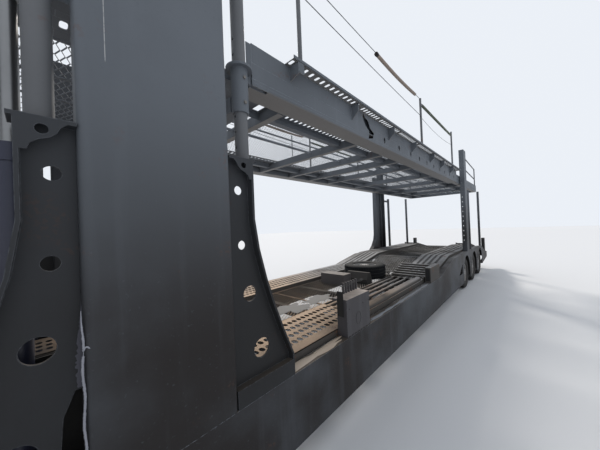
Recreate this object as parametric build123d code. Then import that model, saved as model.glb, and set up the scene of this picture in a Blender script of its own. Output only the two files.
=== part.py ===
from build123d import *
import math
import os

# Two-level car transporter semi-trailer, millimetres.
# X runs forward, Y to the left, Z up; the origin lies on the ground under the middle of the trailer.

# Overall sizes
LENGTH = 15200
WIDTH = 2500
NOSE_X = LENGTH / 2
TAIL_X = -LENGTH / 2
HALF_WIDTH = WIDTH / 2

# Side sills: a deep pressed plate with inward flanges, swept up into the neck in front
SILL_BOTTOM = 220
SILL_DEPTH = 520
SILL_TOP = SILL_BOTTOM + SILL_DEPTH
SILL_PLATE = 10
SILL_FLANGE = 105
NECK_BOTTOM = 1180
NECK_DEPTH = 250
NECK_TOP = NECK_BOTTOM + NECK_DEPTH
NECK_LENGTH = 2350
NECK_SLOPE_RUN = 650
STEP_LEAN = 400
HUMP_TOP = 950
HUMP_SHOULDER = 810
HUMP_START_FROM_TAIL = 6500
HUMP_SHOULDER_FROM_TAIL = 6200
HUMP_CREST_FROM_TAIL = 5400
HUMP_END_FROM_TAIL = 2100
TAIL_TOP = 580
TAIL_BOTTOM = 390
TAIL_BEVEL_RUN = 1900

# Wheels and axles
TYRE_DIAMETER = 800
TYRE_WIDTH = 260
RIM_DIAMETER = 445
AXLE_SPACING = 1150
LAST_AXLE_FROM_TAIL = 1650
TYRE_TO_PLATE = 25
AXLE_BEAM_RADIUS = 64
DRUM_RADIUS = 150
DISC_RADIUS = 165
HUB_RADIUS = 85
HUB_REACH = 105
HAND_HOLES = 8
AIR_SPRING_RADIUS = 120
STUB_RADIUS = 40
HUB_CLEARANCE = 0.1
ARCH_RADIUS = 440
ARCH_LIFT = 20

# Rear frame over the axles
RAIL_INSET = 770
RAIL_WIDTH = 90
RAIL_BOTTOM = 640
RAIL_DEPTH = 240
RAIL_SLOPE_FROM_TAIL = 2300
RAIL_TOP = RAIL_BOTTOM + RAIL_DEPTH

# Lower deck
TRACK_INSET = 120
TRACK_NARROW_INSET = 245
TRACK_WIDTH = 580
HUMP_FOOT_FROM_TAIL = 6450
TRACK_RISE = 60
TRACK_PLATE = 6
TRACK_EDGE = TRACK_RISE + 10
TRACK_TOP = SILL_TOP + TRACK_RISE
CENTRE_PLATE = 12
CROSS_DEPTH = 110
CROSS_WIDTH = 80
BAR_RADIUS = 22
EDGE_BAR_RADIUS = 50
BAR_COUNT = 5
BAR_BAY_TO_BOX = 80
BAR_BAY_TO_STEP = 80

# Main columns with their gussets and prop tubes
COLUMN_LENGTH = 660
COLUMN_DEPTH = 140
COLUMN_TOP = 3650
COLUMN_WALL = 8
COLUMN_CORNER = 25
COLUMN_TO_NECK = 615
GUSSET_TOP = 2210
GUSSET_REACH = 165
GUSSET_FOOT_REACH = 465
GUSSET_FOOT_TOP = 890
GUSSET_STRAIGHT_TO = 1850
GUSSET_WEB = 12
GUSSET_WEB_INSET = 50
GUSSET_FLANGE_WIDTH = 100
GUSSET_FLANGE = 14
GUSSET_CAP = 14
PROP_RADIUS = 43.5
PROP_INSET = 100
PROP_TOP = 3420
PROP_STAND_OFF = 155
PEG_PITCH = 100
PEG_RADIUS = 9
PROP_WALL = 8
GUSSET_HOLES = [(2030, 28), (1690, 28), (1380, 49), (1010, 62)]
FRONT_HOLE_SHARE = 0.47
REAR_HOLE_SHARE = 0.55
GUSSET_RELIEF_WIDTH = 72
GUSSET_RELIEF_LOW = 880
GUSSET_RELIEF_TOP = 1190

# Carriage that holds the front end of the main upper deck on the prop tubes
SLEEVE_RADIUS = 55
SLEEVE_CLEARANCE = 0.08
SLEEVE_BOTTOM = 2540
SLEEVE_TOP = 2840
COLLAR_RADIUS = 85
COLLAR_THICKNESS = 14
HINGE_SETBACK = 170
HINGE_Z = 2826
HINGE_PIN_RADIUS = 20
PIN_CLEARANCE = 0.1
LUG_THICKNESS = 20
LUG_REACH = 45
LUG_SLOT_REACH = 75
LUG_GAP = 2

# Main upper deck
DECK_BOTTOM = 2776
DECK_BOX = 190
DECK_WEB = 10
DECK_BEAM_TOP = 3060
BEAM_NOSE = 45
BEAM_NOSE_LOW = 2852
WALKWAY_WIDTH = 100
WALKWAY_THICKNESS = 12
WALKWAY_SETBACK = 325
WALKWAY_LIP = 35
WALKWAY_LIP_PLATE = 6
DECK_FLOOR = 2870
DECK_FLOOR_PLATE = 6
DECK_TRACK_INSET = 120
DECK_TRACK_NARROW_INSET = 205
DECK_TRACK_WIDTH = 460
TRACK_WINDOW_LEAD = 27
TRACK_WINDOW_LENGTH = 69
TRACK_WINDOW_WIDTH = 182
TRACK_WINDOW_INSET = 361
DECK_CROSS_WIDTH = 70
DECK_CROSS_SHARES = [0.0463, 0.1760, 0.2506, 0.3119, 0.3808, 0.5049, 0.6284, 0.7530, 0.8765]
GRID_STRIPS = 6
GRID_STRIP_WIDTH = 14
GRID_TIE_WIDTH = 40
DECK_SIDE_END_FROM_TAIL = 4250
DECK_END_FROM_TAIL = 950
REAR_DECK_HALF_WIDTH = HALF_WIDTH - 125
REAR_DECK_BOX = 100
DECK_FRONT_OVERLAP = 270
FASCIA_HEIGHT = 130
STANCHION_SHARES = [0.0655, 0.5325, 0.876]
RAIL_TUBE_RADIUS = 17
STANCHION_HEIGHT = 790
REAR_RAIL_HEIGHT = 760

# Rear posts
POST_FROM_TAIL = 3800
POST_LENGTH = 300
POST_DEPTH = 110
POST_WALL = 10
POST_TOP = 3700
POST_ROLLER_RADIUS = 45
POST_HOLE_PITCH = 130
GUIDE_RADIUS = 38
GUIDE_TOP = 2650
SUPPORT_FROM_TAIL = 1300
SUPPORT_SIZE = 60
SUPPORT_TOP = 2750
BRACE_LEAD = 370
BRACE_FOOT_LEAD = 750
BRACE_FOOT_RISE = 500
BRACE_TOP = 3300
BRACE_PLATE = 12
BRACE_GAP = 5

# Front upper deck over the neck, with its posts and rams
FRONT_BEAM_DEPTH = 100
FRONT_BEAM_WIDTH = 70
FRONT_BEAM_INSET = 150
FRONT_CROSS_DEPTH = 85
FRONT_DECK_OVERLAP = 300
FRONT_POST_FROM_NOSE = 230
FRONT_POST_SIZE = 100
FRONT_PIN_Z = 2826
FRONT_PIN_RADIUS = 22
RAM_SET_FORWARD = 175
RAM_RADIUS = 45
RAM_ROD_RADIUS = 28
RAM_BARREL_TOP = 2150
RAM_GAP = 0.5

# Landing legs and kingpin
LEG_INSET = 390
SHAFT_HEIGHT = 960
CRANK_DROP = 220
LEG_SIZE = 110
LEG_INNER_SIZE = 88
LEG_SLEEVE_BOTTOM = 380
FOOT_LENGTH = 260
FOOT_WIDTH = 220
FOOT_THICKNESS = 20
KINGPIN_FROM_NOSE = 320
KINGPIN_RADIUS = 25.4
KINGPIN_REACH = 84
KINGPIN_COLLAR_RADIUS = 35.7
KINGPIN_COLLAR = 16
BOLSTER_LENGTH = 1100
BOLSTER_WIDTH = 1000
BOLSTER_THICKNESS = 10

# Tail ramps
RAMP_LENGTH = 2050
RAMP_WIDTH = 400
RAMP_INSET = 410
RAMP_DEPTH = 55
RAMP_HINGE_Z = 690
RAMP_HINGE_FROM_TAIL = 40
RAMP_PIN_RADIUS = 16
RAMP_REST_GAP = 5
RUNG_PITCH = 120

# Spare wheel lying on the lower deck
SPARE_SHARE = 0.168
SPARE_Y = 40

# Chocks lying on the lower deck ahead of the spare wheel
CHOCK_LENGTH = 230
CHOCK_WIDTH = 500
CHOCK_HEIGHT = 180
CHOCK_Y = -120
CHOCK_LEAD = 670
RUBBER_CHOCK_LENGTH = 190
RUBBER_CHOCK_WIDTH = 430
RUBBER_CHOCK_HEIGHT = 190
RUBBER_CHOCK_Y = 195
RUBBER_CHOCK_LEAD = 430

# Fittings on the lower deck
BOX_SHARE = 0.6425
BOX_LENGTH = 430
BOX_HEIGHT = 350
BOX_LID_REACH = 48
COMB_TEETH = 6
COMB_LENGTH = 245
COMB_HEIGHT = 110
STEP_TO_HUMP = 150
STEP_LENGTH = 550
STEP_HEIGHT = 260
STEP_SLATS = 6
LAMP_TOP = 1110

# Derived stations along the trailer
BED_FRONT_X = NOSE_X - NECK_LENGTH
BED_START_X = BED_FRONT_X - NECK_SLOPE_RUN
HUMP_FOOT_X = TAIL_X + HUMP_FOOT_FROM_TAIL
REAR_FRAME_FRONT_X = HUMP_FOOT_X + 250
NECK_TRACK_TOP = NECK_TOP + 40
HUMP_TRACK_TOP = HUMP_TOP + 45
COLUMN_FRONT_X = BED_START_X - COLUMN_TO_NECK
COLUMN_REAR_X = COLUMN_FRONT_X - COLUMN_LENGTH
OPEN_BED = COLUMN_REAR_X - HUMP_FOOT_X
BOX_BACK_X = HUMP_FOOT_X + BOX_SHARE * OPEN_BED
STEP_BACK_X = HUMP_FOOT_X + STEP_TO_HUMP
STEP_FRONT_X = STEP_BACK_X + STEP_LENGTH
BAR_BAY_FRONT_X = BOX_BACK_X - BAR_BAY_TO_BOX
BAR_BAY_BACK_X = STEP_FRONT_X + BAR_BAY_TO_STEP
SPARE_X = HUMP_FOOT_X + SPARE_SHARE * OPEN_BED
PROP_REAR_X = COLUMN_REAR_X - PROP_STAND_OFF
PROP_FRONT_X = COLUMN_FRONT_X + PROP_STAND_OFF - 2 * PROP_RADIUS + 30
PROP_Y = HALF_WIDTH - PROP_INSET
HINGE_X = PROP_REAR_X - HINGE_SETBACK
BEAM_FACE_Y = HALF_WIDTH - WALKWAY_WIDTH
BEAM_WEB_Y = BEAM_FACE_Y - DECK_WEB
BEAM_INNER_Y = BEAM_WEB_Y - DECK_BOX
LUG_OUTER_Y = BEAM_WEB_Y - LUG_GAP
LUG_INNER_Y = LUG_OUTER_Y - LUG_THICKNESS
DECK_SIDE_FRONT_X = PROP_REAR_X - COLLAR_RADIUS - 20
DECK_SIDE_END_X = TAIL_X + DECK_SIDE_END_FROM_TAIL
DECK_END_X = TAIL_X + DECK_END_FROM_TAIL
POST_FRONT_X = TAIL_X + POST_FROM_TAIL
SUPPORT_X = TAIL_X + SUPPORT_FROM_TAIL
RAMP_HINGE_X = TAIL_X + RAMP_HINGE_FROM_TAIL
FRONT_POST_X = NOSE_X - FRONT_POST_FROM_NOSE
FRONT_DECK_BACK_X = COLUMN_FRONT_X - FRONT_DECK_OVERLAP
FRONT_DECK_FRONT_X = NOSE_X - 80
FRONT_BEAM_OUTER_Y = HALF_WIDTH - FRONT_BEAM_INSET
FRONT_BEAM_INNER_Y = FRONT_BEAM_OUTER_Y - FRONT_BEAM_WIDTH
RAM_X = COLUMN_FRONT_X + RAM_SET_FORWARD
RAM_Y = FRONT_BEAM_OUTER_Y - FRONT_BEAM_WIDTH / 2
AXLE_X = [TAIL_X + LAST_AXLE_FROM_TAIL + n * AXLE_SPACING for n in (2, 1, 0)]
AXLE_Z = TYRE_DIAMETER / 2
TYRE_Y = HALF_WIDTH - SILL_PLATE - TYRE_TO_PLATE - TYRE_WIDTH / 2
RAIL_OFFSET = HALF_WIDTH - RAIL_INSET
TRACK_OUTER_Y = HALF_WIDTH - TRACK_INSET
TRACK_INNER_Y = TRACK_OUTER_Y - TRACK_WIDTH
TRACK_NARROW_Y = HALF_WIDTH - TRACK_NARROW_INSET
DECK_TRACK_OUTER_Y = HALF_WIDTH - DECK_TRACK_INSET
DECK_TRACK_INNER_Y = DECK_TRACK_OUTER_Y - DECK_TRACK_WIDTH
DECK_TRACK_NARROW_Y = HALF_WIDTH - DECK_TRACK_NARROW_INSET
LEG_Y = HALF_WIDTH - LEG_INSET
RAMP_Y = HALF_WIDTH - RAMP_INSET
SIDES = (("left", 1), ("right", -1))

os.makedirs("parts", exist_ok=True)


def block(x0, x1, y0, y1, z0, z1):
    """Rectangular block between two corners."""
    size = (abs(x1 - x0), abs(y1 - y0), abs(z1 - z0))
    return Pos((x0 + x1) / 2, (y0 + y1) / 2, (z0 + z1) / 2) * Box(*size)


def side_shape(points, y0, y1):
    """Outline of (x, z) points carried across from y0 to y1."""
    outline = make_face(Polyline([(x, 0, z) for x, z in points], close=True))
    low, high = min(y0, y1), max(y0, y1)
    return Pos(0, low, 0) * extrude(outline, amount=high - low, dir=(0, 1, 0))


def rod(start, end, radius):
    """Round bar from one point to another."""
    a, b = Vector(*start), Vector(*end)
    return extrude(Plane(origin=a, z_dir=b - a) * Circle(radius), amount=(b - a).length)


def ring(start, end, outer, inner):
    """Round tube from one point to another."""
    return rod(start, end, outer) - rod(start, end, inner)


def turned(profile, x, z):
    """Outline of (radius, y) points turned about the cross axis through x, z."""
    outline = make_face(Polyline([(0, y, r) for r, y in profile], close=True))
    return Pos(x, 0, z) * revolve(outline, Axis.Y, 360)


def other_side(solid):
    """The same solid on the right-hand side."""
    return mirror(solid, about=Plane.XZ)


def on_side(solid, side):
    """The left-hand solid, or its mirror image when side is -1."""
    return solid if side > 0 else other_side(solid)


def save(name, *solids):
    """Write one node made of one or more separate solids."""
    pieces = [one for solid in solids for one in solid.solids()]
    export_step(Compound(pieces) if len(pieces) > 1 else pieces[0], f"parts/{name}.step")


# Side sills
def sill_outline(inset=0):
    """Side view of a sill, as (x, z) points from the nose round to the nose."""
    t = inset
    top = [
        (NOSE_X - t, NECK_TOP - t),
        (BED_FRONT_X + t * 0.5, NECK_TOP - t),
        (BED_START_X + t * 0.5, SILL_TOP - t),
        (TAIL_X + HUMP_START_FROM_TAIL, SILL_TOP - t),
        (TAIL_X + HUMP_SHOULDER_FROM_TAIL, HUMP_SHOULDER - t),
        (TAIL_X + HUMP_CREST_FROM_TAIL, HUMP_TOP - t),
        (TAIL_X + HUMP_END_FROM_TAIL, HUMP_TOP - t),
        (SUPPORT_X - 60, HUMP_TOP - 60 - t),
        (TAIL_X + 600, TAIL_TOP + 90 - t),
        (TAIL_X + t, TAIL_TOP - t),
    ]
    bottom = [
        (TAIL_X + t, TAIL_BOTTOM + t),
        (TAIL_X + TAIL_BEVEL_RUN, SILL_BOTTOM + t),
        (BED_FRONT_X - t, SILL_BOTTOM + t),
        (BED_FRONT_X + STEP_LEAN - t, NECK_BOTTOM + t),
        (NOSE_X - t, NECK_BOTTOM + t),
    ]
    return top + bottom


def sill_top_at(x):
    """Height of the sill's top edge at a station."""
    edge = sill_outline()[:10]
    for (x0, z0), (x1, z1) in zip(edge, edge[1:]):
        if x1 <= x <= x0:
            return z0 + (z1 - z0) * (x0 - x) / (x0 - x1)
    return SILL_TOP


def side_sill():
    """Left sill: outer plate with a flange all round, arches and windows cut."""
    inner_y = HALF_WIDTH - SILL_FLANGE
    tray = side_shape(sill_outline(), inner_y, HALF_WIDTH)
    hollow = side_shape(sill_outline(SILL_PLATE), inner_y - 1, HALF_WIDTH - SILL_PLATE)
    sill = tray - hollow
    for x in AXLE_X:
        arch_z = AXLE_Z + ARCH_LIFT
        arch = rod((x, inner_y - 5, arch_z), (x, HALF_WIDTH + 5, arch_z), ARCH_RADIUS)
        below = block(x - ARCH_RADIUS, x + ARCH_RADIUS, inner_y - 5, HALF_WIDTH + 5, SILL_BOTTOM - 50, arch_z)
        sill -= arch + below
    first = AXLE_X[0] + ARCH_RADIUS + 130
    window = [(first, 470), (first + 430, 470), (first + 40, 700), (first, 700)]
    sill -= side_shape(window, HALF_WIDTH - SILL_PLATE - 5, HALF_WIDTH + 5)
    for ahead, behind in ((0, 1), (1, 2)):
        middle = (AXLE_X[ahead] + AXLE_X[behind]) / 2
        slot = block(middle - 45, middle + 45, HALF_WIDTH - SILL_PLATE - 5, HALF_WIDTH + 5, 560, 760)
        sill -= slot
    return sill


LEFT_SILL = side_sill()
save("side_sill_left", LEFT_SILL)
save("side_sill_right", other_side(LEFT_SILL))


# Cross-members of the low bed, the neck and the tail
def cross_members():
    """Cross bars between the sills, each ending against the inner faces of the sill plates."""
    reach = HALF_WIDTH - SILL_PLATE
    members = []
    bed_start = BED_START_X - 150
    bed_end = REAR_FRAME_FRONT_X + CROSS_WIDTH / 2
    count = 7
    for n in range(count):
        x = bed_start + (bed_end - bed_start) * n / (count - 1)
        members.append((x, TRACK_TOP - TRACK_EDGE - CROSS_DEPTH))
    for x in (NOSE_X - 60, NOSE_X - 900, NOSE_X - 1700, BED_FRONT_X + 60):
        members.append((x, NECK_TRACK_TOP - TRACK_EDGE - CROSS_DEPTH))
    bars = []
    for x, z in members:
        bars.append(block(x - CROSS_WIDTH / 2, x + CROSS_WIDTH / 2, -reach, reach, z, z + CROSS_DEPTH))
    return bars


save("bed_cross_members", *cross_members())


# Rear frame: two rails over the axles with outriggers to the sills
def rear_rail_top(x):
    """Height of the rail's top edge at a station."""
    slope_start = TAIL_X + RAIL_SLOPE_FROM_TAIL
    if x >= slope_start:
        return RAIL_TOP
    return RAIL_TOP - (RAIL_TOP - TAIL_TOP + 20) * (slope_start - x) / (slope_start - TAIL_X - 150)


def ramp_hinges():
    """Lugs behind the end of the rear frame, with one pin for each ramp."""
    hinges = []
    back = TAIL_X + 170
    x = RAMP_HINGE_X
    outline = [
        (back, TAIL_BOTTOM + 45),
        (back, TAIL_TOP - 35),
        (TAIL_X + 95, TAIL_TOP - 35),
        (TAIL_X + 95, RAMP_HINGE_Z + 20),
        (x - 25, RAMP_HINGE_Z + 20),
        (x - 25, RAMP_HINGE_Z - 60),
        (TAIL_X + 60, TAIL_BOTTOM + 45),
    ]
    for side in (1, -1):
        low, high = RAMP_Y - RAMP_WIDTH / 2, RAMP_Y + RAMP_WIDTH / 2
        hinge = side_shape(outline, low - 30, low - 10) + side_shape(outline, high + 10, high + 30)
        hinge += rod((x, low - 30, RAMP_HINGE_Z), (x, high + 30, RAMP_HINGE_Z), RAMP_PIN_RADIUS)
        hinges.append(on_side(hinge, side))
    return hinges


def rear_rail(side):
    """One rail of the rear frame."""
    front = REAR_FRAME_FRONT_X
    back = TAIL_X + 150
    y = side * RAIL_OFFSET
    outline = [
        (front, SILL_TOP - 50),
        (front - 1400, RAIL_TOP),
        (TAIL_X + RAIL_SLOPE_FROM_TAIL, RAIL_TOP),
        (back, TAIL_TOP - 20),
        (back, TAIL_BOTTOM + 20),
        (TAIL_X + 1150, RAIL_BOTTOM),
        (front - 500, RAIL_BOTTOM),
        (front, SILL_BOTTOM + 180),
    ]
    return side_shape(outline, y - RAIL_WIDTH / 2, y + RAIL_WIDTH / 2)


def rear_frame():
    """Two rails, cross pieces notched round them and outriggers over the wheels."""
    rails = [rear_rail(1), rear_rail(-1)]
    back = TAIL_X + 150
    reach = HALF_WIDTH - SILL_PLATE
    hump_rest = HUMP_TRACK_TOP - TRACK_EDGE
    half_spacing = AXLE_SPACING / 2
    bars = []
    for x in (AXLE_X[0] + half_spacing, AXLE_X[0] - half_spacing, AXLE_X[1] - half_spacing):
        bars.append(block(x - 40, x + 40, -reach, reach, RAIL_TOP - 40, hump_rest))
    x = AXLE_X[2] - half_spacing
    bars.append(block(x - 40, x + 40, -reach, reach, RAIL_BOTTOM, rear_rail_top(x) + 30))
    end_bar = block(back + 20, back + 100, -reach, reach, TAIL_BOTTOM + 40, TAIL_TOP - 30)
    for hinge in ramp_hinges():
        end_bar += hinge
    bars.append(end_bar)
    return rails + [bar - rails[0] - rails[1] for bar in bars]


save("rear_frame", *rear_frame())


# Neck plate and kingpin
def neck_plate():
    """Bolster plate under the neck with two stiffening rails."""
    x = NOSE_X - KINGPIN_FROM_NOSE
    front = NOSE_X - 20
    back = front - BOLSTER_LENGTH
    half = BOLSTER_WIDTH / 2
    plate_top = NECK_BOTTOM + BOLSTER_THICKNESS
    rail_top = NECK_TRACK_TOP - TRACK_EDGE - CROSS_DEPTH
    plate = block(back, front, -half, half, NECK_BOTTOM, plate_top)
    for side in (1, -1):
        y = side * (half - 60)
        plate += block(BED_FRONT_X + 100, front, y - 40, y + 40, plate_top, rail_top)
    return plate - rod((x, 0, NECK_BOTTOM - 5), (x, 0, NECK_BOTTOM + 60), KINGPIN_RADIUS)


def kingpin():
    """Two-inch pin with its waist and lower collar."""
    x = NOSE_X - KINGPIN_FROM_NOSE
    top = NECK_BOTTOM + BOLSTER_THICKNESS
    low = NECK_BOTTOM - KINGPIN_REACH
    pin = rod((x, 0, low), (x, 0, top), KINGPIN_RADIUS)
    pin += rod((x, 0, low), (x, 0, low + KINGPIN_COLLAR), KINGPIN_COLLAR_RADIUS)
    return pin + rod((x, 0, top), (x, 0, top + 30), 70)


save("neck_plate", neck_plate())
save("kingpin", kingpin())


# Lower wheel tracks
def track_spans():
    """Spans of a lower track as (x front, z front, x back, z back, outer y)."""
    neck_end = BED_FRONT_X + 20
    bed_start = BED_START_X
    narrow_end = PROP_REAR_X - 340
    hump_foot = HUMP_FOOT_X
    hump_start = TAIL_X + 5300
    hump_end = TAIL_X + HUMP_END_FROM_TAIL
    tail_end = TAIL_X + 110
    neck_z = NECK_TRACK_TOP
    hump_z = HUMP_TRACK_TOP
    return [
        (NOSE_X - 30, neck_z, neck_end, neck_z, TRACK_OUTER_Y),
        (neck_end, neck_z, bed_start, TRACK_TOP, TRACK_OUTER_Y),
        (bed_start, TRACK_TOP, narrow_end, TRACK_TOP, TRACK_NARROW_Y),
        (narrow_end, TRACK_TOP, hump_foot, TRACK_TOP, TRACK_OUTER_Y),
        (hump_foot, TRACK_TOP, hump_start, hump_z, TRACK_OUTER_Y),
        (hump_start, hump_z, hump_end, hump_z, TRACK_OUTER_Y),
        (hump_end, hump_z, tail_end, TAIL_TOP + 60, TRACK_OUTER_Y),
    ]


def sloping_plate(x0, z0, x1, z1, y0, y1, thickness, edge=0):
    """Plate whose top runs from one (x, z) to another, with turned-down edges."""
    outline = [(x0, z0), (x1, z1), (x1, z1 - thickness), (x0, z0 - thickness)]
    plate = side_shape(outline, y0, y1)
    if edge:
        skirt = [(x0, z0), (x1, z1), (x1, z1 - edge), (x0, z0 - edge)]
        plate += side_shape(skirt, y0, y0 + thickness)
        plate += side_shape(skirt, y1 - thickness, y1)
    return plate


def lower_track(side):
    """One wheel track from nose to tail; the left one has a bay of bars."""
    track = None
    for x0, z0, x1, z1, outer in track_spans():
        span = sloping_plate(x0, z0, x1, z1, TRACK_INNER_Y, outer, TRACK_PLATE, TRACK_EDGE)
        track = span if track is None else track + span
    if side > 0:
        low, high = TRACK_INNER_Y + 12, TRACK_OUTER_Y - 12
        under = TRACK_TOP - TRACK_PLATE - 1
        track -= block(BAR_BAY_BACK_X, BAR_BAY_FRONT_X, low, high, under, TRACK_TOP + 1)
    return on_side(track, side)


def track_bars():
    """Battens across the bay with the long bars lying on them."""
    front, back = BAR_BAY_FRONT_X, BAR_BAY_BACK_X
    low = TRACK_TOP - TRACK_EDGE
    batten_top = TRACK_TOP - 2 * BAR_RADIUS - 2
    radii = [BAR_RADIUS] * (BAR_COUNT - 1) + [EDGE_BAR_RADIUS]
    inner, outer = TRACK_INNER_Y + TRACK_PLATE, TRACK_OUTER_Y - TRACK_PLATE
    bars = None
    for n in range(4):
        x = back + 150 + n * (front - back - 300) / 3
        batten = block(x - 25, x + 25, inner, outer, low, batten_top)
        bars = batten if bars is None else bars + batten
    pitch = (outer - inner - 120) / (BAR_COUNT - 1)
    for n, radius in enumerate(radii):
        y = inner + 60 + n * pitch
        z = batten_top + radius - 1
        bars += rod((back + 10, y, z), (front - 10, y, z), radius)
    return bars


save("track_bars", track_bars())
save("lower_track_left", lower_track(1))
save("lower_track_right", lower_track(-1))


# Floor between the tracks
def centre_floor():
    """Mesh panels between the wheel tracks, on the cross-members and over the hump."""
    drop = TRACK_EDGE - CENTRE_PLATE
    floor = None
    y = TRACK_INNER_Y - 10
    for x0, z0, x1, z1, outer in track_spans()[2:6]:
        span = sloping_plate(x0, z0 - drop, x1, z1 - drop, -y, y, CENTRE_PLATE)
        floor = span if floor is None else floor + span
    return floor


save("centre_floor", centre_floor())


# Main columns: closed rectangular tubes flush with the sills
def main_column():
    """Left column, a rounded rectangular tube with a cap."""
    x = COLUMN_REAR_X + COLUMN_LENGTH / 2
    y = HALF_WIDTH - COLUMN_DEPTH / 2
    height = COLUMN_TOP - SILL_TOP
    outer = RectangleRounded(COLUMN_LENGTH, COLUMN_DEPTH, COLUMN_CORNER)
    inner_size = (COLUMN_LENGTH - 2 * COLUMN_WALL, COLUMN_DEPTH - 2 * COLUMN_WALL)
    inner = RectangleRounded(*inner_size, COLUMN_CORNER - COLUMN_WALL)
    core = Pos(0, 0, COLUMN_WALL) * extrude(inner, amount=height - 2 * COLUMN_WALL)
    return Pos(x, y, SILL_TOP) * (extrude(outer, amount=height) - core)


LEFT_COLUMN = main_column()
save("main_column_left", LEFT_COLUMN)
save("main_column_right", other_side(LEFT_COLUMN))


# Gussets that stand on the sills before and behind each column
def gusset_reach(z):
    """Reach of the gusset's outer edge from the column at a height."""
    if z >= GUSSET_STRAIGHT_TO:
        return GUSSET_REACH
    share = (GUSSET_STRAIGHT_TO - z) / (GUSSET_STRAIGHT_TO - GUSSET_FOOT_TOP)
    return GUSSET_REACH + (GUSSET_FOOT_REACH - GUSSET_REACH) * share ** 1.45


def gusset(hole_share):
    """Gusset standing towards +X from the plane X = 0, with its holes, cap, ear and foot."""
    levels = [SILL_TOP, GUSSET_FOOT_TOP, 1080, 1270, 1460, 1660, GUSSET_STRAIGHT_TO, GUSSET_TOP]
    reach = [gusset_reach(max(z, GUSSET_FOOT_TOP)) for z in levels]
    outer_edge = list(zip(reach, levels))
    inner_edge = [(r - GUSSET_FLANGE, z) for r, z in outer_edge]
    web_y = HALF_WIDTH - GUSSET_WEB_INSET
    flange_y = HALF_WIDTH - GUSSET_FLANGE_WIDTH
    web = side_shape([(0, SILL_TOP)] + outer_edge + [(0, GUSSET_TOP)], web_y - GUSSET_WEB, web_y)
    shape = web + side_shape(outer_edge + inner_edge[::-1], flange_y, HALF_WIDTH)
    foot_depth = GUSSET_FOOT_TOP - SILL_TOP - 40
    shape += block(0, GUSSET_FOOT_REACH, flange_y, HALF_WIDTH, SILL_TOP, SILL_TOP + foot_depth)
    cap_reach = GUSSET_REACH + 15
    shape += block(0, cap_reach, flange_y - 5, HALF_WIDTH, GUSSET_TOP, GUSSET_TOP + GUSSET_CAP)
    edge_x = GUSSET_REACH - GUSSET_FLANGE
    ear = [
        (edge_x, GUSSET_TOP),
        (edge_x - 126, GUSSET_TOP),
        (edge_x - 106, GUSSET_TOP - 18),
        (edge_x - 95, GUSSET_TOP - 42),
        (edge_x - 76, GUSSET_TOP - 60),
        (edge_x - 47, GUSSET_TOP - 72),
        (edge_x - 27, GUSSET_TOP - 88),
        (edge_x - 18, GUSSET_TOP - 112),
        (edge_x, GUSSET_TOP - 112),
    ]
    shape += side_shape(ear, HALF_WIDTH - 10, HALF_WIDTH)
    hole_x, hole_z = edge_x - 56, GUSSET_TOP - 32
    shape -= rod((hole_x, HALF_WIDTH - 15, hole_z), (hole_x, HALF_WIDTH + 5, hole_z), 18)
    for z, radius in GUSSET_HOLES:
        x = hole_share * (gusset_reach(z) - GUSSET_FLANGE)
        shape -= rod((x, web_y - GUSSET_WEB - 5, z), (x, web_y + 5, z), radius)
    return shape


def placed_gussets(side):
    """The front and rear gussets of one column."""
    width, low, high = GUSSET_RELIEF_WIDTH, GUSSET_RELIEF_LOW, GUSSET_RELIEF_TOP
    relief = [
        (-1, low),
        (width * 0.8, low),
        (width, low + 60),
        (width * 0.85, high - 90),
        (width * 0.35, high),
        (-1, high),
    ]
    web_y = HALF_WIDTH - GUSSET_WEB_INSET
    opening = side_shape(relief, web_y - GUSSET_WEB - 5, web_y + 5)
    front = Pos(COLUMN_FRONT_X, 0, 0) * (gusset(FRONT_HOLE_SHARE) - opening)
    rear = Pos(COLUMN_REAR_X, 0, 0) * mirror(gusset(REAR_HOLE_SHARE), about=Plane.YZ)
    return on_side(front, side), on_side(rear, side)


save("column_gussets_left", *placed_gussets(1))
save("column_gussets_right", *placed_gussets(-1))


# Prop tubes on the gusset caps, with peg holes and head brackets on the columns
def prop_tubes():
    """Four perforated tubes, each held at its head by a bracket on the column."""
    bottom = GUSSET_TOP + GUSSET_CAP
    tubes = []
    for side in (1, -1):
        y = side * PROP_Y
        for x, face in ((PROP_FRONT_X, COLUMN_FRONT_X), (PROP_REAR_X, COLUMN_REAR_X)):
            tube = ring((x, y, bottom), (x, y, PROP_TOP), PROP_RADIUS, PROP_RADIUS - PROP_WALL)
            count = int((PROP_TOP - bottom - 300) / PEG_PITCH)
            for n in range(count):
                z = bottom + 90 + n * PEG_PITCH
                tube -= rod((x - PROP_RADIUS - 5, y, z), (x + PROP_RADIUS + 5, y, z), PEG_RADIUS)
            far = x + math.copysign(PROP_RADIUS + 15, x - face)
            bracket = block(face, far, y - 55, y + 55, PROP_TOP - 60, PROP_TOP - 40)
            bracket -= rod((x, y, PROP_TOP - 80), (x, y, PROP_TOP), PROP_RADIUS - 1)
            tubes.append(tube + bracket)
    return tubes


save("prop_tubes", *prop_tubes())


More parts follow.
